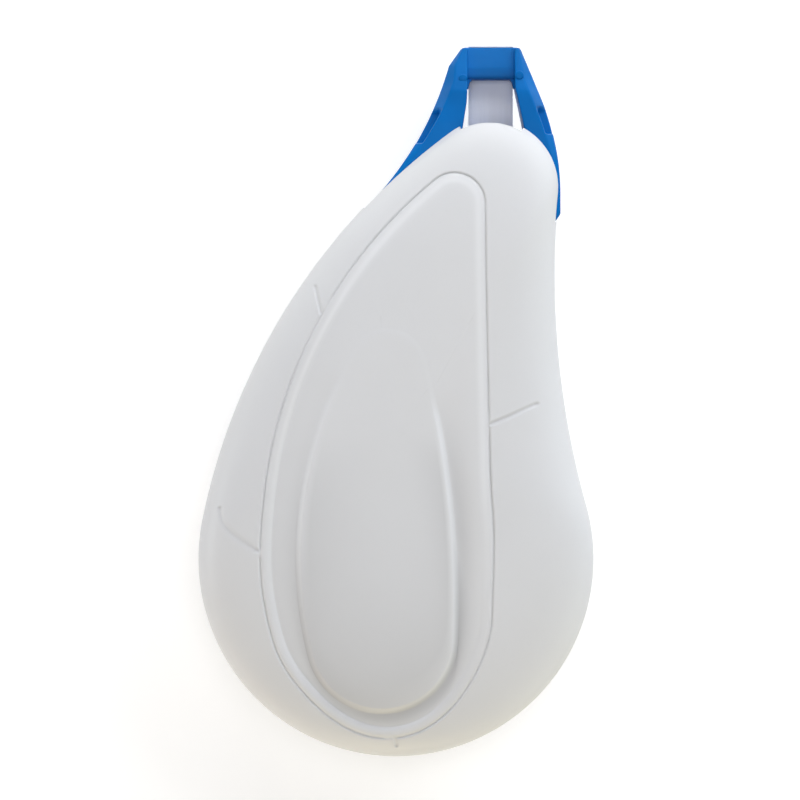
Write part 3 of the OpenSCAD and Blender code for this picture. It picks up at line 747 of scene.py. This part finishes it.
def soft_table(v, table):
    """Values looked up from a table of (place, value) in millimetres, with its corners smoothed.

    Each is a mean of the values nearby, weighted by a bell curve.
    """
    blur = 0.35
    x, y = np.array(table).T
    steps = np.linspace(-1.5, 1.5, 13)
    weight = np.exp(-2 * steps**2)
    near = np.interp(v[:, None] + blur * steps, x, y)
    return (near * weight).sum(-1) / weight.sum()


def rounded(corners, radius, steps=5):
    """Sections of corners (rows, corners, 2) with each corner rounded by a quadratic curve.

    A rounding takes at most a share of the sides that meet there.
    """
    share = 0.45
    back, on = np.roll(corners, 1, 1) - corners, np.roll(corners, -1, 1) - corners
    lb, lo = np.linalg.norm(back, axis=-1, keepdims=True), np.linalg.norm(on, axis=-1, keepdims=True)
    r = np.minimum(radius, share * np.minimum(lb, lo))
    p, q = corners + back / np.maximum(lb, TINY) * r, corners + on / np.maximum(lo, TINY) * r
    t = np.linspace(0, 1, steps)[:, None]
    curve = (1 - t) ** 2 * p[:, :, None] + 2 * t * (1 - t) * corners[:, :, None] + t**2 * q[:, :, None]
    return curve.reshape(len(corners), -1, 2)


def closed_ends(rings, along, round_off):
    """Adds rings that shrink along a quarter circle, so that both ends of a loft have soft edges."""

    def end(ring, way):
        most = 0.8
        middle = ring.mean(0)
        half = np.abs(ring - middle).max(0)
        made = []
        for t in (0.3, 0.6, 0.85, 1.0):
            inset = round_off * (1 - math.cos(t * math.pi / 2))
            scale = np.where(half > TINY, 1 - np.minimum(inset / np.maximum(half, TINY), most), 1)
            shift = round_off * (math.sin(t * math.pi / 2) - 1) * way
            made.append(middle + (ring - middle) * scale + shift * along)
        return made

    along = np.array(along, float)
    low, high = end(rings[0], -1), end(rings[-1], 1)
    first = rings[0] + round_off * along
    last = rings[-1] - round_off * along
    return np.concatenate([low[::-1], [first], rings[1:-1], [last], high])


def blade_line(case, head):
    """Heights of the blade's foot and edge rounds above the nose, and the lean of the faces that join them.

    The sine of the lean is the difference of the radii over the distance.
    """
    low = head.window_h + head.blade_r
    edge = case.tip - head.tape_t - head.tape_gap / 2 - head.edge_r
    return low, edge, math.asin((head.blade_r - head.edge_r) / (edge - low))


class HeadShape:
    """Edges of the head by the height v above the middle of the nose, in millimetres."""

    def __init__(self, case, head):
        self.guide = head.tape_w / MM / 2 + GUIDE_PLAY
        self.flange = self.guide + FLANGE_T
        self.cheek = head.cheek / MM
        self.window = head.window_h / MM
        self.top = (blade_line(case, head)[1] + head.edge_r) / MM - ARM_DROP
        self.left_centre = meet(WING_TIP, LEFT_EDGE_R, SHOULDER, LEFT_EDGE_R, 1)

    def left_out(self, v):
        """Left edge: one arc from the wing's tip to the shoulder, and straight on to the flange."""
        x, y = self.left_centre
        arc = x + np.sqrt(LEFT_EDGE_R**2 - (np.minimum(v, SHOULDER[1]) - y) ** 2)
        line = np.interp(v, [SHOULDER[1], self.top], [SHOULDER[0], -self.flange])
        return np.where(v < SHOULDER[1], arc, line)

    def right_out(self, v):
        """Right edge: a chamfered corner, an upright stretch, an arc, and straight on to the flange."""

        def arc(w):
            rise = np.maximum(0, w - RIGHT_EDGE_Y)
            return RIGHT_EDGE - RIGHT_EDGE_R + np.sqrt(RIGHT_EDGE_R**2 - rise**2)

        upper = np.interp(v, [RIGHT_ARC_TOP, self.top], [arc(RIGHT_ARC_TOP), self.flange])
        lower = RIGHT_EDGE - RIGHT_CHAMFER * (RIGHT_CORNER - v)
        middle = np.where(v < RIGHT_ARC_TOP, arc(np.minimum(v, RIGHT_ARC_TOP)), upper)
        return np.where(v < RIGHT_CORNER, lower, middle)

    def left_in(self, v):
        """Inner edge of the left arm, from the throat in to the tape's guide."""
        return -soft_table(v, [(5.2, 3.45), (6.3, 3.2), (9.2, self.guide + 0.1), (11, self.guide)])

    def right_in(self, v):
        """Inner edge of the right arm, from the throat in to the tape's guide."""
        return soft_table(v, [(3.5, 4.85), (6.3, self.guide + 1), (9.2, self.guide + 0.4), (11, self.guide)])

    def face(self, v):
        """Half thickness at the flat front and back."""
        c = self.cheek
        return soft_table(v, [(7, c), (10.5, 0.9 * c), (self.window, 0.74 * c), (self.top, 0.95)])

    def side(self, v):
        """Half thickness at the outer edge."""
        c = self.cheek
        return soft_table(v, [(3, c - 0.25), (8.5, 0.4 * c), (self.window, 0.35 * c), (self.top, 0.4)])

    def slope(self, v):
        """Width of the slope from the face to the outer edge."""
        return soft_table(v, [(1, 0.4), (4.5, 0.85), (8.5, 1.1), (self.window, 1.1), (self.top, 0.2)])


def add_arm(name, case, head, side, foot, pocket):
    """One arm of the yoke: eight-cornered sections up the head, whose slopes drop into the pocket.

    The pocket opens by a smooth step near its foot and closes by a longer one near its top. Both reach a
    little over its ends, where the sections lie closer.
    """
    web, wall, end_round = head.web / MM, 0.14, 0.14
    over, opening, closing = 0.1, 0.3, 0.8
    low, high = pocket
    shape = HeadShape(case, head)
    v = np.linspace(foot, shape.top, 120)
    v = np.sort(np.concatenate([v] + [np.linspace(end - 0.5, end + 0.3, 19) for end in pocket]))
    inner, outer = (shape.left_in, shape.left_out) if side < 0 else (shape.right_in, shape.right_out)
    xi, xo, zf, zs = inner(v), outer(v), shape.face(v), shape.side(v)
    xs = xo - side * shape.slope(v)
    deep = ease((v - low + over) / opening) * (1 - ease((v - high - over + closing) / closing))
    xm, zm = (xs + xo) / 2, (zf + zs) / 2
    xm, zm, zs = xm + deep * (xs + side * wall - xm), zm + deep * (web - zm), zs + deep * (web - zs)
    half = np.stack([np.stack([xi, xs, xm, xo], -1), np.stack([zf, zf, zm, zs], -1)], -1)
    corners = np.concatenate([half, (half * [1, -1])[:, ::-1]], 1)
    ring = rounded(corners, head.corner / MM)
    y = np.broadcast_to(v[:, None, None], ring.shape[:2] + (1,))
    rings = np.concatenate([ring[..., :1], y, ring[..., 1:]], -1)
    rings = closed_ends(rings, (0, 1, 0), end_round) * MM + [*case.nose, case.mid]
    return add_loft(name, rings, sharp=40)


def add_blade(name, case, head):
    """The blade: a squared round and a small round, joined by tangents and carried across to the flanges.

    The foot is squared by a power of its unit circle's coordinates.
    """
    square_power, overlap, count = 0.45, 0.3, 9
    reach = HeadShape(case, head).guide + overlap
    low, edge, lean = blade_line(case, head)
    foot = unit(np.linspace(math.pi / 2 - lean, 1.5 * math.pi + lean, 40))
    square = foot[:, 0] < 0
    foot[square] = np.sign(foot[square]) * np.abs(foot[square]) ** square_power
    tip = unit(np.linspace(lean - math.pi / 2, math.pi / 2 - lean, 20))
    section = np.concatenate([[low, 0] + head.blade_r * foot, [edge, 0] + head.edge_r * tip])
    x = np.linspace(-reach, reach, count) * MM
    across = np.broadcast_to(x[:, None, None], (count, len(section), 1))
    rings = np.concatenate([across, np.broadcast_to(section, (count,) + section.shape)], -1)
    return add_loft(name, rings + [*case.nose, case.mid], sharp=40)


def add_slab(name, case, outline, half, bevel):
    """A flat piece of the head: an outline in millimetres from the nose, with rounded corners and soft edges.

    It reaches half its thickness to both sides of the middle plane, and shrinks by the bevel there.
    """
    corner, third = 0.25, bevel / 3
    ring = rounded(np.array(outline, float)[None], corner, 6)[0]
    middle = ring.mean(0)
    reach = np.abs(ring - middle).max(0)
    lower = [(-half, bevel), (third - half, third), (bevel - half, 0)]
    rings = []
    for z, inset in lower + [(-z, inset) for z, inset in lower[::-1]]:
        flat = middle + (ring - middle) * (1 - inset / reach)
        rings.append(np.concatenate([flat, np.full((len(flat), 1), z)], -1))
    return add_loft(name, np.stack(rings) * MM + [*case.nose, case.mid], sharp=40)


def corner_web(shape):
    """Outline of the web in the window's right corner: a quadratic curve from the arm to the blade.

    The rest of it lies inside both.
    """
    g, w = shape.guide, shape.window
    low, bend, high = np.array([(g - 0.1, w - 1), (g - 0.15, w - 0.05), (g - 0.85, w + 0.15)])
    t = np.linspace(0, 1, 9)[:, None]
    curve = (1 - t) ** 2 * low + 2 * t * (1 - t) * bend + t**2 * high
    return np.concatenate([[(g + 0.25, w + 1), (g + 0.25, w - 1)], curve, [(g - 0.85, w + 1)]])


class TAPE_OT_head(bpy.types.Operator):
    """Yoke head: two arms with pockets, the blade between them, its webs and bosses, and the guide bar"""

    bl_idname = "tape.head"
    bl_label = "Head"

    def execute(self, context):
        head = context.scene.tape_head
        case = Case(context.scene.tape_case)
        shape = HeadShape(case, head)
        web_half, bar_half = 0.82, 0.5
        boss_r, boss_half = 0.5, 0.74 * shape.cheek + 0.12
        web, circle = corner_web(shape), boss_r * unit(np.linspace(0, TURN, 24, endpoint=False))
        pieces = [
            add_arm("head_left_arm", case, head, -1, WING_TIP[1], LEFT_POCKET),
            add_arm("head_right_arm", case, head, 1, RIGHT_FOOT, RIGHT_POCKET),
            add_blade("head_blade", case, head),
        ]
        for side, name, rise in ((-1, "left", 0), (1, "right", 0.4)):
            boss = circle + [side * (shape.guide + boss_r), shape.window + rise]
            pieces.append(add_slab(f"head_{name}_web", case, web * [side, 1], web_half, bevel=0.15))
            pieces.append(add_slab(f"head_{name}_boss", case, boss, boss_half, bevel=0.1))
        pieces.append(add_slab("head_guide_bar", case, BAR, bar_half, bevel=0.2))
        finish = blue_plastic(context.scene.tape_colours)
        for piece in pieces:
            settle(piece, "case", "applicator_head", finish)
        return {"FINISHED"}


def add_ribbon(name, centres, across, width, thick):
    """A strip of tape along a path of centres, with the given directions across it and thinner long edges.

    A section's points lie half the width across and half the thickness up from its centre.
    """
    thin = 0.4
    along = np.gradient(centres, axis=0)
    up = np.cross(along, across)
    up /= np.linalg.norm(up, axis=-1, keepdims=True)
    u = np.linspace(-1, 1, 13)
    face = np.ones_like(u)
    face[[0, -1]] = thin
    shape = np.concatenate([np.stack([u, face], -1), np.stack([u, -face], -1)[::-1]])
    rings = (
        centres[:, None]
        + shape[None, :, :1] * across[:, None] * width / 2
        + shape[None, :, 1:] * up[:, None] * thick / 2
    )
    return add_loft(name, rings, sharp=60)


def axis_of(joint):
    """Place of a joint's upright axis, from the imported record."""
    return np.array(next(j["pos_m"][:2] for j in frame["joints"] if j["name"] == joint))


def leave(at, radius, end):
    """Direction from a circle's middle to where a tangent to the end leaves it on its right.

    It is the way to the end, less the angle whose cosine is the radius over the distance.
    """
    v = end - at
    return math.atan2(v[1], v[0]) - math.acos(radius / np.hypot(*v))


def quarter_turn(case, reel, radius, plain, side):
    """Path and width directions of a strip that leaves a reel upright and lies flat at the neck of the head.

    Past a plain start, both the turn and the lift from the middle plane follow one smooth step.
    """
    end = case.nose + [0, NECK]
    start = reel + radius * unit(leave(reel, radius, end))
    t = np.linspace(0, 1, 90)
    wait = plain / np.hypot(*(end - start))
    e = ease((t - wait) / (1 - wait))
    flat = start + t[:, None] * (end - start)
    path = np.concatenate([flat, (case.mid + side * NECK_LIFT * e)[:, None]], -1)
    turn = math.pi / 2 * e
    return path, np.stack([np.sin(turn), 0 * t, np.cos(turn)], -1)


def blade_path(case, head):
    """Heights above the nose, and distances from the middle plane, of a strip up to the blade's edge.

    It runs straight from the neck to the foot, round it, and straight again to the round of the edge.
    """
    off = head.tape_gap / 2 + head.tape_t / 2
    foot_r, edge_r = head.blade_r + off, head.edge_r + off
    low, high, lean = blade_line(case, head)
    foot, edge, neck = np.array([(low, 0), (high, 0), (NECK, NECK_LIFT)])
    first, last = leave(foot, foot_r, neck), math.pi / 2 - lean
    t = np.linspace(0, 1, 24)[:-1, None]
    return np.concatenate(
        [
            neck + t * (foot + foot_r * unit(first) - neck),
            foot + foot_r * unit(np.linspace(first, last, 12)),
            edge + edge_r * unit(np.linspace(last, 0, 14)),
        ]
    ).T


class TAPE_OT_runs(bpy.types.Operator):
    """Tape runs: from the supply roll past the guide roller, round the blade's edge, and back as film"""

    bl_idname = "tape.runs"
    bl_label = "Tape runs"

    def execute(self, context):
        head, reels = context.scene.tape_head, context.scene.tape_reels
        case = Case(context.scene.tape_case)
        colours = context.scene.tape_colours
        tape, film = tape_finish(colours), film_finish(colours)
        step, plain = head.tape_gap + head.tape_t / 2, 0.5 * MM

        supply, roller = axis_of("supply_spin"), axis_of("roller_spin")
        path, across = quarter_turn(case, roller, reels.roller_r + step, plain, -1)
        low, high = supply + [reels.roll_r + step, 0], roller + [reels.roller_r + step, 0]
        t = np.linspace(0, 1, 30)[:, None]
        rise = np.concatenate([low + t * (high - low), np.full_like(t, case.mid)], -1)
        upright = np.tile([0.0, 0.0, 1.0], (len(t), 1))
        path, across = np.concatenate([rise, path]), np.concatenate([upright, across])
        feed = add_ribbon("tape_feed", path, across, head.tape_w, head.tape_t)
        settle(feed, "case", "feed_tape", tape)

        plain += math.sqrt(reels.flange_r**2 - reels.film_r**2)
        path, across = quarter_turn(case, axis_of("take_up_spin"), reels.film_r + step, plain, 1)
        back = add_ribbon("film_return", path, across, head.tape_w, head.tape_t)
        settle(back, "case", "return_film", film)

        y, z = blade_path(case, head)
        across = np.tile([1.0, 0.0, 0.0], (len(y), 1))
        for name, node, slot, side, finish in (
            ("tape_tip", "tip_tape", "tape", -1, tape),
            ("film_tip", "tip_film", "film", 1, film),
        ):
            path = np.stack([case.nose[0] + 0 * y, case.nose[1] + y, case.mid + side * z], -1)
            strip = add_ribbon(name, path, across, head.tape_w, head.tape_t)
            settle(strip, "case", node, finish)
        return {"FINISHED"}


def wound_profile(inner, outer, half, mid, turns):
    """Section of a wound roll: straight bore and rim, and both faces rippled by the size of a cosine."""
    ripple = 0.03 * MM
    r = np.linspace(outer, inner, 4 * turns + 1)
    wave = np.abs(np.cos(np.linspace(0, turns * math.pi, 4 * turns + 1)))
    face = mid + half - ripple * (1 - wave)
    top = np.stack([r, face], -1)
    low = np.stack([r[::-1], 2 * mid - face[::-1]], -1)
    return np.concatenate([top, low])


class TAPE_OT_works(bpy.types.Operator):
    """Works: wound rolls with their turns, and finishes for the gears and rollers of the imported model"""

    bl_idname = "tape.works"
    bl_label = "Works"

    def execute(self, context):
        reels, colours = context.scene.tape_reels, context.scene.tape_colours
        mid, half = context.scene.tape_case.thickness / 2, context.scene.tape_head.tape_w / 2
        supply, take_up = axis_of("supply_spin"), axis_of("take_up_spin")
        section = wound_profile(reels.core_r, reels.roll_r, half, mid, turns=26)
        roll = add_lathe("tape_roll", section, supply, count=160, sharp=30)
        finish = wound_finish("wound_tape", colours.tape, supply)
        settle(roll, "supply_spool", "supply_roll", finish)
        section = wound_profile(reels.take_up_r, reels.film_r, half, mid, turns=8)
        used = add_lathe("film_roll", section, take_up, count=120, sharp=30)
        finish = wound_finish("wound_film", colours.film, take_up)
        settle(used, "take_up", "take_up_roll", finish)
        geared = ("supply_gear", "supply_core", "take_up_reel", "take_up_flange", "guide_roller")
        finishes = dict.fromkeys(geared, gear_plastic(colours))
        finishes.update(clutch_ring=rubber_finish(colours), slip_disc=film_finish(colours))
        for name, finish in finishes.items():
            node = frame["nodes"][name]
            node.data.materials.clear()
            node.data.materials.append(finish)
        return {"FINISHED"}


class Wire:
    """A value in a node tree: sums, differences and products of wires and numbers add Math nodes."""

    def __init__(self, nodes, socket):
        self.nodes, self.socket = nodes, socket

    def math(self, kind, *others):
        return self.nodes.math(kind, self, *others)

    def __add__(self, other):
        return self.math("ADD", other)

    __radd__ = __add__

    def __mul__(self, other):
        return self.math("MULTIPLY", other)

    __rmul__ = __mul__

    def __sub__(self, other):
        return self.math("SUBTRACT", other)

    def __rsub__(self, other):
        return self.nodes.math("SUBTRACT", other, self)

    def between(self, low, high):
        """0 below low, 1 above high and smooth between them."""
        inputs = {"Value": self, "From Min": low, "From Max": high}
        return self.nodes.node("ShaderNodeMapRange", inputs, interpolation_type="SMOOTHSTEP")


class Nodes:
    """The nodes of a material or a world, which all lead to its one shader."""

    def __init__(self, owner, shader):
        owner.use_nodes = True
        self.owner, self.tree = owner, owner.node_tree
        self.shader = next(n for n in self.tree.nodes if n.type == shader)

    def node(self, kind, inputs=None, output=0, **settings):
        """A node of a type, with its settings first and then the values or links of its sockets."""
        made = self.tree.nodes.new(kind)
        for key, value in settings.items():
            setattr(made, key, value)
        for key, value in (inputs or {}).items():
            self.feed(made.inputs[key], value)
        return Wire(self, made.outputs[output])

    def feed(self, socket, value):
        """Links a wire to a socket, or sets the socket's value."""
        if isinstance(value, Wire):
            self.tree.links.new(value.socket, socket)
        else:
            socket.default_value = value

    def math(self, kind, *values):
        """A Math node on wires and numbers."""
        return self.node("ShaderNodeMath", dict(enumerate(values)), operation=kind)

    def seen(self):
        """1 for the camera's own rays, reflections and what shows through clear pieces, and 0 for light."""
        rays = (f"Is {kind} Ray" for kind in ("Camera", "Glossy", "Transmission"))
        camera, glossy, clear = (self.node("ShaderNodeLightPath", output=ray) for ray in rays)
        return camera.math("MAXIMUM", glossy).math("MAXIMUM", clear)

    def set(self, **values):
        """Feeds sockets of the shader, named with underscores, and returns the material or world."""
        for key, value in values.items():
            self.feed(self.shader.inputs[key.replace("_", " ")], value)
        return self.owner


class Finish(Nodes):
    """A material with one Principled shader."""

    def __init__(self, name):
        super().__init__(bpy.data.materials.new(name), "BSDF_PRINCIPLED")
        self.place = self.node("ShaderNodeTexCoord", output="Object")

    def noise(self, scale, detail, stretch=None):
        """Noise with a set number of features a metre, about 0 to 1; stretch scales the axes."""
        place = self.place
        if stretch:
            place = self.node("ShaderNodeVectorMath", {0: place, 1: stretch}, operation="MULTIPLY")
        return self.node("ShaderNodeTexNoise", {"Vector": place, "Scale": scale, "Detail": detail})

    def attribute(self, name):
        """A value that the mesh holds at its points."""
        return self.node("ShaderNodeAttribute", output="Fac", attribute_name=name)

    def blend(self, share, first, second):
        """Colour that goes from the first to the second by a share."""
        first, second = (c if isinstance(c, Wire) else (*c[:3], 1) for c in (first, second))
        return self.node("ShaderNodeMix", {0: share, 6: first, 7: second}, output=2, data_type="RGBA")

    def mottle(self, cloud, colour, dark, light):
        """Colour that goes from a darker to a lighter tint by a noise."""
        return self.blend(cloud.between(0.3, 0.7), tint(colour, dark), tint(colour, light))

    def bump(self, height, distance, strength):
        """Tilts the surface as a height of 0 to 1 over a distance would."""
        inputs = {"Height": height, "Distance": distance, "Strength": strength}
        self.set(Normal=self.node("ShaderNodeBump", inputs))


def tint(colour, factor):
    """A colour scaled by a factor, kept within 0 to 1."""
    return tuple(min(1.0, c * factor) for c in colour)


def white_plastic(colours):
    """Satin moulded plastic: faint clouds, specks and grain, painted shade in the recesses and painted
    highlights on polished crests.
    """
    f = Finish("white_plastic")
    clouds = f.noise(55, 3)
    specks = f.noise(2600, 1).between(0.66, 0.74)
    colour = f.mottle(clouds, colours.white, 0.985, 1.015)
    colour = f.blend(specks * 0.05, colour, tint(colours.white, 0.8))
    # Painted shade: darker in the leaf line, the branch grooves and pits, the valley and towards the pad's
    # low end.
    colour = f.blend(f.attribute("recess") * 0.3, colour, tint(colours.white, 0.6))
    # Painted highlight: lighter on the crests of the roll and the pad's edge, which are also less rough
    # there.
    worn = f.attribute("worn")
    colour = f.blend(worn * 0.8, colour, tint(colours.white, 1.12))
    grain = f.noise(5200, 2)
    f.bump(grain, 0.006 * MM, 0.5)
    f.set(Subsurface_Weight=0.06, Subsurface_Radius=(0.0012, 0.0011, 0.001), Subsurface_Scale=1.0)
    f.set(Specular_IOR_Level=0.32)
    return f.set(Base_Color=colour, Roughness=0.4 + grain * 0.1 + clouds * 0.04 - worn * 0.1)


def blue_plastic(colours):
    """Semi-gloss moulded plastic: flow clouds, and fine scratches along the arms."""
    f = Finish("blue_plastic")
    clouds = f.noise(140, 3)
    colour = f.mottle(clouds, colours.blue, 0.92, 1.08)
    scratches = f.noise(900, 2, (6.0, 0.6, 6.0)).between(0.62, 0.78)
    grain = f.noise(4200, 2)
    f.bump(grain + scratches * 0.6, 0.006 * MM, 0.5)
    f.set(Specular_IOR_Level=0.06)
    return f.set(Base_Color=colour, Roughness=0.34 + grain * 0.1 + scratches * 0.08)


def gear_plastic(colours):
    """Plain moulded plastic of gears and reels, with faint clouds and grain."""
    f = Finish("gear_plastic")
    clouds = f.noise(160, 2)
    grain = f.noise(3800, 2)
    colour = f.mottle(clouds, colours.gear, 0.95, 1.03)
    f.bump(grain, 0.008 * MM, 0.5)
    return f.set(Base_Color=colour, Roughness=0.42 + grain * 0.12)


def rubber_finish(colours):
    """Matt black rubber with a dusty bloom."""
    f = Finish("clutch_rubber")
    dust = f.noise(900, 3).between(0.45, 0.75)
    grain = f.noise(5000, 2)
    colour = f.blend(dust * 0.35, colours.rubber, (0.16, 0.16, 0.16))
    f.bump(grain, 0.01 * MM, 0.6)
    return f.set(Base_Color=colour, Roughness=0.7 + grain * 0.15)


def tape_finish(colours):
    """Coated tape: chalky and matt, with faint streaks along the run and small pores."""
    f = Finish("coated_tape")
    streaks = f.noise(700, 2, (3.0, 0.15, 3.0))
    pores = f.noise(4200, 2).between(0.62, 0.75)
    colour = f.blend(streaks.between(0.35, 0.65), tint(colours.tape, 0.98), tint(colours.tape, 1.02))
    colour = f.blend(pores * 0.12, colour, tint(colours.tape, 0.75))
    f.bump(streaks * 0.6 - pores * 0.5, 0.008 * MM, 0.5)
    return f.set(Base_Color=colour, Roughness=0.62 + pores * 0.15)


def film_finish(colours):
    """Clear carrier film: mostly see-through, with a slight haze that varies along the run."""
    f = Finish("clear_film")
    haze = f.noise(500, 2, (2.0, 0.3, 2.0))
    grain = f.noise(3000, 2)
    colour = f.blend(haze, tint(colours.film, 0.95), tint(colours.film, 1.05))
    f.bump(grain, 0.004 * MM, 0.4)
    f.set(Specular_IOR_Level=0.06)
    return f.set(Base_Color=colour, Alpha=0.003 + haze * 0.004, Roughness=0.16 + grain * 0.08)


def wound_finish(name, base, axis):
    """The edges of wound turns: a sine of the distance from the axis, with some rings darker than others."""
    f = Finish(name)
    offset = f.node("ShaderNodeVectorMath", {0: f.place, 1: (*axis, 0)}, operation="SUBTRACT")
    flat = f.node("ShaderNodeVectorMath", {0: offset, 1: (1, 1, 0)}, operation="MULTIPLY")
    away = f.node("ShaderNodeVectorMath", {0: flat}, output="Value", operation="LENGTH")
    pitch, changes = 0.25 * MM, 9000
    rings = (away * (TURN / pitch)).math("SINE") * 0.5 + 0.5
    inputs = {"W": away * changes, "Scale": 1.0, "Detail": 1.0}
    uneven = f.node("ShaderNodeTexNoise", inputs, noise_dimensions="1D")
    colour = f.blend(rings * 0.25 + uneven * 0.3, tint(base, 1.03), tint(base, 0.72))
    f.bump(rings, 0.01 * MM, 0.5)
    return f.set(Base_Color=colour, Roughness=0.5 + uneven * 0.15)


def floor_finish():
    """Plain pale floor: white to the camera and to reflections far out, with the shadow near the object."""
    f = Finish("floor")
    cloud = f.noise(6, 2)
    away = f.node("ShaderNodeVectorMath", {0: f.place}, output="Value", operation="LENGTH")
    glow = f.seen() * (0.4 + away.between(0.1, 0.35) * 0.6)
    f.set(Roughness=0.9, Specular_IOR_Level=0.1, Emission_Strength=1.0)
    f.set(Emission_Color=f.blend(glow, (0, 0, 0), (1, 1, 1)))
    return f.set(Base_Color=f.blend(cloud, (0.8, 0.8, 0.8), (0.82, 0.82, 0.82)))


def add_lamp(name, azimuth, elevation, level, colour, away, size):
    """A soft square lamp turned to the object, in degrees from the right and above the floor.

    A white surface that faces it shows its level: the power is that times the square of (pi times distance).
    """
    flat, up = math.radians(azimuth), math.radians(elevation)
    light = bpy.data.lights.new(name, "AREA")
    light.size = size
    light.energy = level * (math.pi * away) ** 2
    light.color = colour
    lamp = bpy.data.objects.new(name, light)
    bpy.context.scene.collection.objects.link(lamp)
    lamp.location = away * np.append(math.cos(up) * unit(flat), math.sin(up))
    lamp.rotation_euler = (math.pi / 2 - up, 0, flat + math.pi / 2)


# Name, direction from the right and height in degrees, level, colour, distance and size in metres
LAMPS = (
    ("above", 90, 90, 0.28, (1.0, 0.97, 0.98), 1.0, 0.6),
    ("upper_right", 45, 25, 0.6, (0.9, 0.95, 1.0), 0.45, 0.33),
    ("top", 90, 25, 0.42, (1.0, 0.99, 0.99), 0.45, 0.33),
    ("left", 180, 8, 0.335, (0.95, 1.0, 1.0), 0.6, 0.2),
    ("lower_left", 225, 8, 0.1, (1.0, 0.65, 0.55), 0.6, 0.2),
    ("low", 270, 8, 0.355, (1.0, 0.89, 0.55), 0.6, 0.2),
    ("lower_right", 315, 8, 0.17, (1.0, 1.0, 0.9), 0.6, 0.2),
)


def surround(level):
    """World of one level that shows white to the camera and to reflections."""
    nodes = Nodes(bpy.data.worlds.new("surround"), "BACKGROUND")
    return nodes.set(Color=(1, 1, 1, 1), Strength=level + nodes.seen() * (1 - level))


class TAPE_OT_stage(bpy.types.Operator):
    """Stage: pale floor, large soft lamps, an even world and a long-lens camera straight above"""

    bl_idname = "tape.stage"
    bl_label = "Stage"

    def execute(self, context):
        scene, s = context.scene, context.scene.tape_stage
        scene.view_settings.view_transform = "Standard"
        half, drop = 1.6, 0.2 * MM
        corners = [(-half, -half, 0), (half, -half, 0), (half, half, 0), (-half, half, 0)]
        mesh = bpy.data.meshes.new("floor")
        mesh.from_pydata(corners, [], [(0, 1, 2, 3)])
        floor = bpy.data.objects.new("floor", mesh)
        scene.collection.objects.link(floor)
        floor.location.z = -drop
        mesh.materials.append(floor_finish())

        for name, azimuth, elevation, level, *rest in LAMPS:
            add_lamp(name, azimuth, elevation, s.lamps * level, *rest)
        scene.world = surround(s.world)

        lens = bpy.data.cameras.new("camera")
        lens.lens, lens.sensor_width, lens.clip_end = s.lens, 36, 20
        away, aim = s.view_w * s.lens / lens.sensor_width, (0.45 * MM, 0.08 * MM)
        camera = bpy.data.objects.new("camera", lens)
        scene.collection.objects.link(camera)
        camera.location = (*aim, scene.tape_case.thickness / 2 + away)
        scene.camera = camera
        return {"FINISHED"}


class TAPE_PT_panel(bpy.types.Panel):
    """Sidebar panel with the settings and one button for each group of pieces."""

    bl_idname = "TAPE_PT_panel"
    bl_label = "Correction tape"
    bl_space_type = "VIEW_3D"
    bl_region_type = "UI"
    bl_category = "Tape"

    def draw(self, context):
        for title, group, operators in GROUPS:
            settings = getattr(context.scene, group)
            box = self.layout.box()
            box.label(text=title)
            for key in settings.bl_rna.properties.keys():
                if key not in ("rna_type", "name"):
                    box.prop(settings, key)
            for operator in operators:
                box.operator(operator)


GROUPS = (
    ("Case", "tape_case", ("tape.front_shell", "tape.rear_shell")),
    ("Head and tape", "tape_head", ("tape.head", "tape.runs")),
    ("Reels", "tape_reels", ("tape.works",)),
    ("Colours", "tape_colours", ()),
    ("Stage", "tape_stage", ("tape.stage",)),
)
SETTINGS = {
    "tape_case": CaseSizes,
    "tape_head": HeadSizes,
    "tape_reels": ReelSizes,
    "tape_colours": Colours,
    "tape_stage": StageSettings,
}
CLASSES = (
    *SETTINGS.values(),
    TAPE_OT_front_shell,
    TAPE_OT_rear_shell,
    TAPE_OT_head,
    TAPE_OT_runs,
    TAPE_OT_works,
    TAPE_OT_stage,
    TAPE_PT_panel,
)


def register():
    for item in CLASSES:
        bpy.utils.register_class(item)
    for name, group in SETTINGS.items():
        setattr(bpy.types.Scene, name, bpy.props.PointerProperty(type=group))


def unregister():
    for name in SETTINGS:
        delattr(bpy.types.Scene, name)
    for item in reversed(CLASSES):
        bpy.utils.unregister_class(item)


def main():
    register()
    bpy.ops.tape.stage()
    bpy.ops.tape.front_shell()
    bpy.ops.tape.rear_shell()
    bpy.ops.tape.head()
    bpy.ops.tape.runs()
    bpy.ops.tape.works()


if __name__ == "__main__":
    main()
